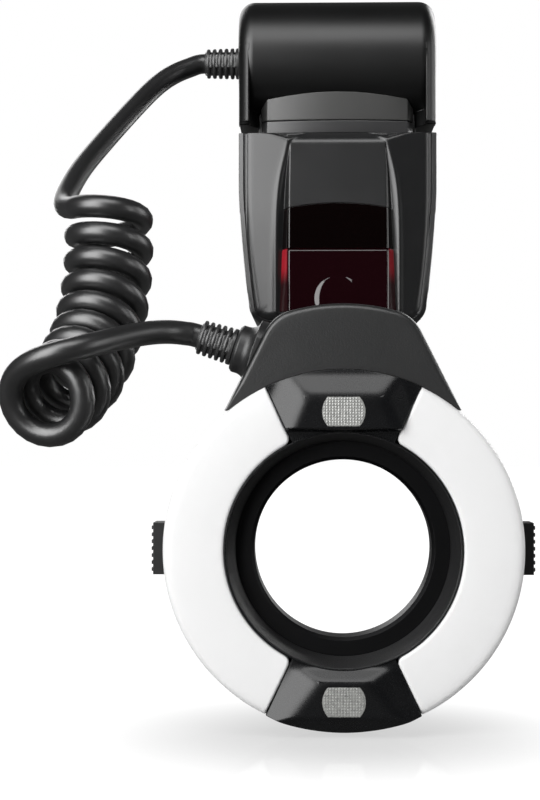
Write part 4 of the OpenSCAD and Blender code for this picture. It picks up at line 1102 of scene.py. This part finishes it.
NECK_FACE = -2.6
NECK_RIM = 2.0
NECK_MIDDLE = 40
NECK_SIDE = (52.7, 0.894, 0.449)
CROWN_R = 62
CROWN_Y = 15.3


def neck_room(x, y):
    """Distance inside the neck's outline: two straight sides under a shallow crown, with soft corners."""
    reach, across, up = NECK_SIDE
    side = reach - across * np.abs(x) - up * y
    crown = CROWN_R - np.hypot(x, y - CROWN_Y)
    return soft_min(side, crown, 3.8)


def make_neck():
    """Neck cover over the ring: flat face, rounded rim and drafted side wall."""
    turn = np.linspace(-1, 1, 181)
    aim = np.radians(84 * turn)
    near, far = 0 * aim, 0 * aim + 60
    for _ in range(40):
        middle = (near + far) / 2
        inside = neck_room(middle * np.sin(aim), NECK_MIDDLE + middle * np.cos(aim)) > 0
        near, far = np.where(inside, middle, near), np.where(inside, far, middle)
    outer = np.stack([near * np.sin(aim), NECK_MIDDLE + near * np.cos(aim)])
    along = np.radians(39.4 * turn)
    inner = (RING_R + 0.1) * np.stack([np.sin(along), np.cos(along)])
    reach = np.hypot(*(outer - inner))
    toward = (outer - inner) / reach
    scale = np.minimum(reach / 6, 1)
    rows = [(inner, -7.0), (inner, NECK_FACE)]
    rows += [(inner + toward * (reach - NECK_RIM * scale) * k / 10, NECK_FACE) for k in range(1, 11)]
    for degree in range(10, 91, 10):
        angle = math.radians(degree)
        place = outer - toward * NECK_RIM * scale * (1 - math.sin(angle))
        rows.append((place, NECK_FACE - NECK_RIM * (1 - math.cos(angle))))
    spread = np.stack([np.sin(aim), np.cos(aim) * 0.3])
    rows += [(outer + spread * 0.8 * k / 3, NECK_FACE - NECK_RIM - 8.0 * k / 3) for k in range(1, 4)]
    x = np.array([place[0] for place, _ in rows])
    y = np.array([place[1] for place, _ in rows])
    z = np.array([np.full(len(turn), depth) for _, depth in rows])
    cover = sheet("neck_cover_skin", x, y, z, RING_FRAME)
    thicken(cover, 0.6, 45)
    finish_piece(cover, "neck", ["neck_cover"])


def block(name, size, place, angle):
    """A small rounded bar at a place round the local axis."""
    piece = cube(name, size)
    bpy.ops.mesh.bevel(offset=0.18 * MM, segments=2, affect="EDGES")
    bpy.ops.transform.translate(value=tuple(p * MM for p in place))
    bpy.ops.transform.rotate(value=angle, orient_axis="Z", center_override=(0, 0, 0))
    leave()
    return piece


RELIEF_R = 5.9
RELIEF_CORE = 4.5
RELIEF_BORE = 3.95
RELIEF_RIBS = 5
RIB_SHARE = 0.64
RIB_FROM = 2.2


def make_relief(name, length, matrix, node):
    """Ribbed strain relief: rings along a core, joined by bars in front and behind."""
    pitch = (length - 2) / RELIEF_RIBS
    thick = RIB_SHARE * pitch
    gap = pitch - thick
    core, bore = RELIEF_CORE, RELIEF_BORE
    profile = [(5.3, 0.02), (RELIEF_R, 0.35), (RELIEF_R, 1.3), (5.6, 1.65), (core, 1.7)]
    for k in range(RELIEF_RIBS):
        z = RIB_FROM + k * pitch
        end = z + thick
        r = RELIEF_R - 0.08 * k
        profile += [(core, z), (r - 0.5, z + 0.02), (r - 0.14, z + 0.16), (r, z + 0.5), (r, end - 0.5),
                    (r - 0.14, end - 0.16), (r - 0.5, end - 0.02), (core, end)]
    profile += [(core, length - 0.3), (core - 0.3, length), (bore, length), (bore, length - 1.2)]
    sleeve = turned(name, profile, 56)
    bars = []
    for k in range(RELIEF_RIBS):
        middle = RIB_FROM + k * pitch - gap / 2
        for side in (0, 1):
            bars.append(block(name + "_bar", (1.2, 5.0, gap + 0.3), (4.9, 0, middle), math.pi * side))
    join([sleeve, *bars])
    edit(sleeve)
    bpy.ops.mesh.select_all(action="SELECT")
    bpy.ops.mesh.normals_make_consistent(inside=False)
    leave()
    settle(sleeve, matrix)
    smooth(sleeve, 40)
    finish_piece(sleeve, "sleeve", [node])


def axis_frame(place, along):
    along = Vector(along).normalized()
    up = Vector((0, 1, 0))
    side = up.cross(along)
    turn = Matrix((up, side, along)).transposed().to_4x4()
    return Matrix.Translation(Vector(place) * MM) @ turn


make_groove_liner()
make_diffuser("right_diffuser_cover", 1, "right_diffuser")
make_diffuser("left_diffuser_cover", -1, "left_diffuser")
make_bridge("top_bridge_skin", 1, flat=(HOLE_R + 1.2, HOLE_R + 11), half=(16, 12), slope=(0.2, 2.1))
make_bridge("bottom_bridge_skin", -1, flat=(-HOLE_R - 14.8, -HOLE_R - 3.9), half=(16.5, 8.0),
            slope=(1.2, 1.25))
make_lamp_window("top_lamp_window", TOP_LAMP_Y, "top_lamp_lens")
make_lamp_window("bottom_lamp_window", LOW_LAMP_Y, "bottom_lamp_lens")
make_neck()
upper_frame = axis_frame((-DRUM_HALF, DRUM_Y, DRUM_Z), (-1, 0, 0))
lower_frame = axis_frame(tuple(GLAND_ROOT + 8.2 * GLAND_DIR), tuple(GLAND_DIR))
make_relief("upper_relief_sleeve", 13.5, upper_frame, "upper_strain_relief")
make_relief("lower_relief_sleeve", 12.0, lower_frame, "lower_strain_relief")


# Finish of every solid, the ones that a piece stands for too

NODE_FINISH = {
    "case": ["front_cover", "rear_shell", "battery_door", "neck_collar", "foot_pedestal"],
    "head": ["head_front_shell", "head_rear_shell"],
    "saddle": ["neck_saddle"],
    "ring": ["neck_cover", "ring_rear_shell", "cord_gland"],
    "bridge": ["ring_front_frame"],
    "dark": ["left_release", "right_release", "lock_ring", "contact_block", "battery_box", "power_switch",
             "key_switches"],
    "keys": ["mode_button", "ratio_button", "lamp_button", "minus_button", "select_button", "plus_button"],
    "pilot": ["pilot_button"],
    "sleeve": ["upper_strain_relief", "lower_strain_relief"],
    "cable": ["cord_upper_lead", "cord_curls", "cord_lower_lead"],
    "board": ["main_board", "ring_board"],
    "cell": ["aa_cells"],
    "can": ["main_capacitor"],
    "steel": ["foot_plate", "lock_plate", "lock_pin", "door_pin"],
    "screw": ["case_screws", "ring_screws"],
    "brass": ["contact_pins"],
    "foil": ["left_reflector", "right_reflector"],
    "anodised": ["adapter_ring"],
    "sensor": ["sensor_window"],
    "emitter": ["af_emitter"],
    "lamp_chip": ["lamp_diodes"],
    "tube": ["left_flash_tube", "right_flash_tube"],
    "status": ["confirm_lamp"],
    "red": ["af_window"],
    "opal": ["left_diffuser", "right_diffuser"],
    "lamp": ["top_lamp_lens", "bottom_lamp_lens"],
    "display": ["lcd_window", "lcd_module"],
}
for finish, names in NODE_FINISH.items():
    for name in names:
        paint(NODE[name], finish)


# Studio: pale floor, plain backdrop and soft lamps

FLOOR_Z = -0.1205
SHADOW_MIDDLE = (0, -0.12, FLOOR_Z)


def make_floor():
    """Pale floor: paper with the object's shadow close by, plain white farther off, dim in reflections."""
    floor = start("plane", "floor", size=8, location=(0, 0, FLOOR_Z))
    settle(floor)
    f = new_finish("floor_white")
    grain = f.blend(f.noise(300.0), (0.44, 0.44, 0.44), (0.46, 0.46, 0.46))
    paper = f.node("ShaderNodeBsdfPrincipled", None,
                   {"Base Color": grain, "Roughness": 0.05, "Specular IOR Level": 1.0})
    glow = f.node("ShaderNodeEmission", None, {"Color": (1, 1, 1), "Strength": 1.15})
    dim = f.node("ShaderNodeEmission", None, {"Color": (1, 1, 1), "Strength": 0.10})
    away = f.node("ShaderNodeVectorMath", {"operation": "DISTANCE"}, {0: f.place(), 1: SHADOW_MIDDLE},
                  out="Value")
    far = f.remap(away, 0.02, 0.105, 0.52, 1.0)
    plain = f.node("ShaderNodeMixShader", None, {0: f.ray("Camera") * far, 1: paper, 2: glow})
    f.output(f.node("ShaderNodeMixShader", None, {0: f.ray("Glossy"), 1: plain, 2: dim}))
    floor.data.materials.append(f.owner)


def make_world():
    """White where it is seen directly, dim from the front and paler behind where it lights the object."""
    world = bpy.data.worlds.new("studio")
    bpy.context.scene.world = world
    f = Finish(world)
    direction = f.node("ShaderNodeTexCoord", out="Generated")
    depth = f.node("ShaderNodeSeparateXYZ", None, {0: direction}, out="Y")
    behind = f.remap(depth, 0.0, 0.95, 0.01, 0.10)
    seen = f.node("ShaderNodeMath", {"operation": "MAXIMUM"}, {0: f.ray("Camera"), 1: f.ray("Transmission")})
    plain = f.node("ShaderNodeMix", {"data_type": "FLOAT"}, {0: f.ray("Glossy"), 2: 0.08, 3: behind})
    strength = f.node("ShaderNodeMix", {"data_type": "FLOAT"}, {0: seen, 2: plain, 3: 1.0})
    f.output(f.node("ShaderNodeBackground", None, {"Color": (1, 1, 1), "Strength": strength}))


def make_lamp(name, place, aim, size, power):
    data = bpy.data.lights.new(name, "AREA")
    data.shape = "RECTANGLE"
    data.size, data.size_y = size
    data.energy = power
    lamp = bpy.data.objects.new(name, data)
    bpy.context.scene.collection.objects.link(lamp)
    lamp.location = place
    lamp.rotation_euler = (Vector(aim) - Vector(place)).to_track_quat("-Z", "Y").to_euler()


make_floor()
make_world()
make_lamp("left_softbox", (-0.60, -0.78, 0.26), (0, -0.06, 0.02), (0.74, 0.94), 11.5)
make_lamp("top_softbox", (-0.12, -0.56, 0.71), (0, -0.02, 0.09), (0.8, 0.42), 3.6)
make_lamp("back_left", (-0.40, 0.95, 0.44), (0, 0, 0.03), (0.5, 0.8), 3.0)
make_lamp("back_right", (0.62, 0.80, 0.42), (0, 0, 0.03), (0.5, 0.8), 6.0)
make_lamp("right_card", (0.85, -0.50, 0.15), (0, -0.06, 0.0), (0.16, 0.7), 1.3)
make_lamp("right_fill", (1.05, 0.14, 0.20), (0, -0.03, 0.0), (0.35, 0.8), 2.4)

bpy.context.scene.view_settings.view_transform = "Standard"
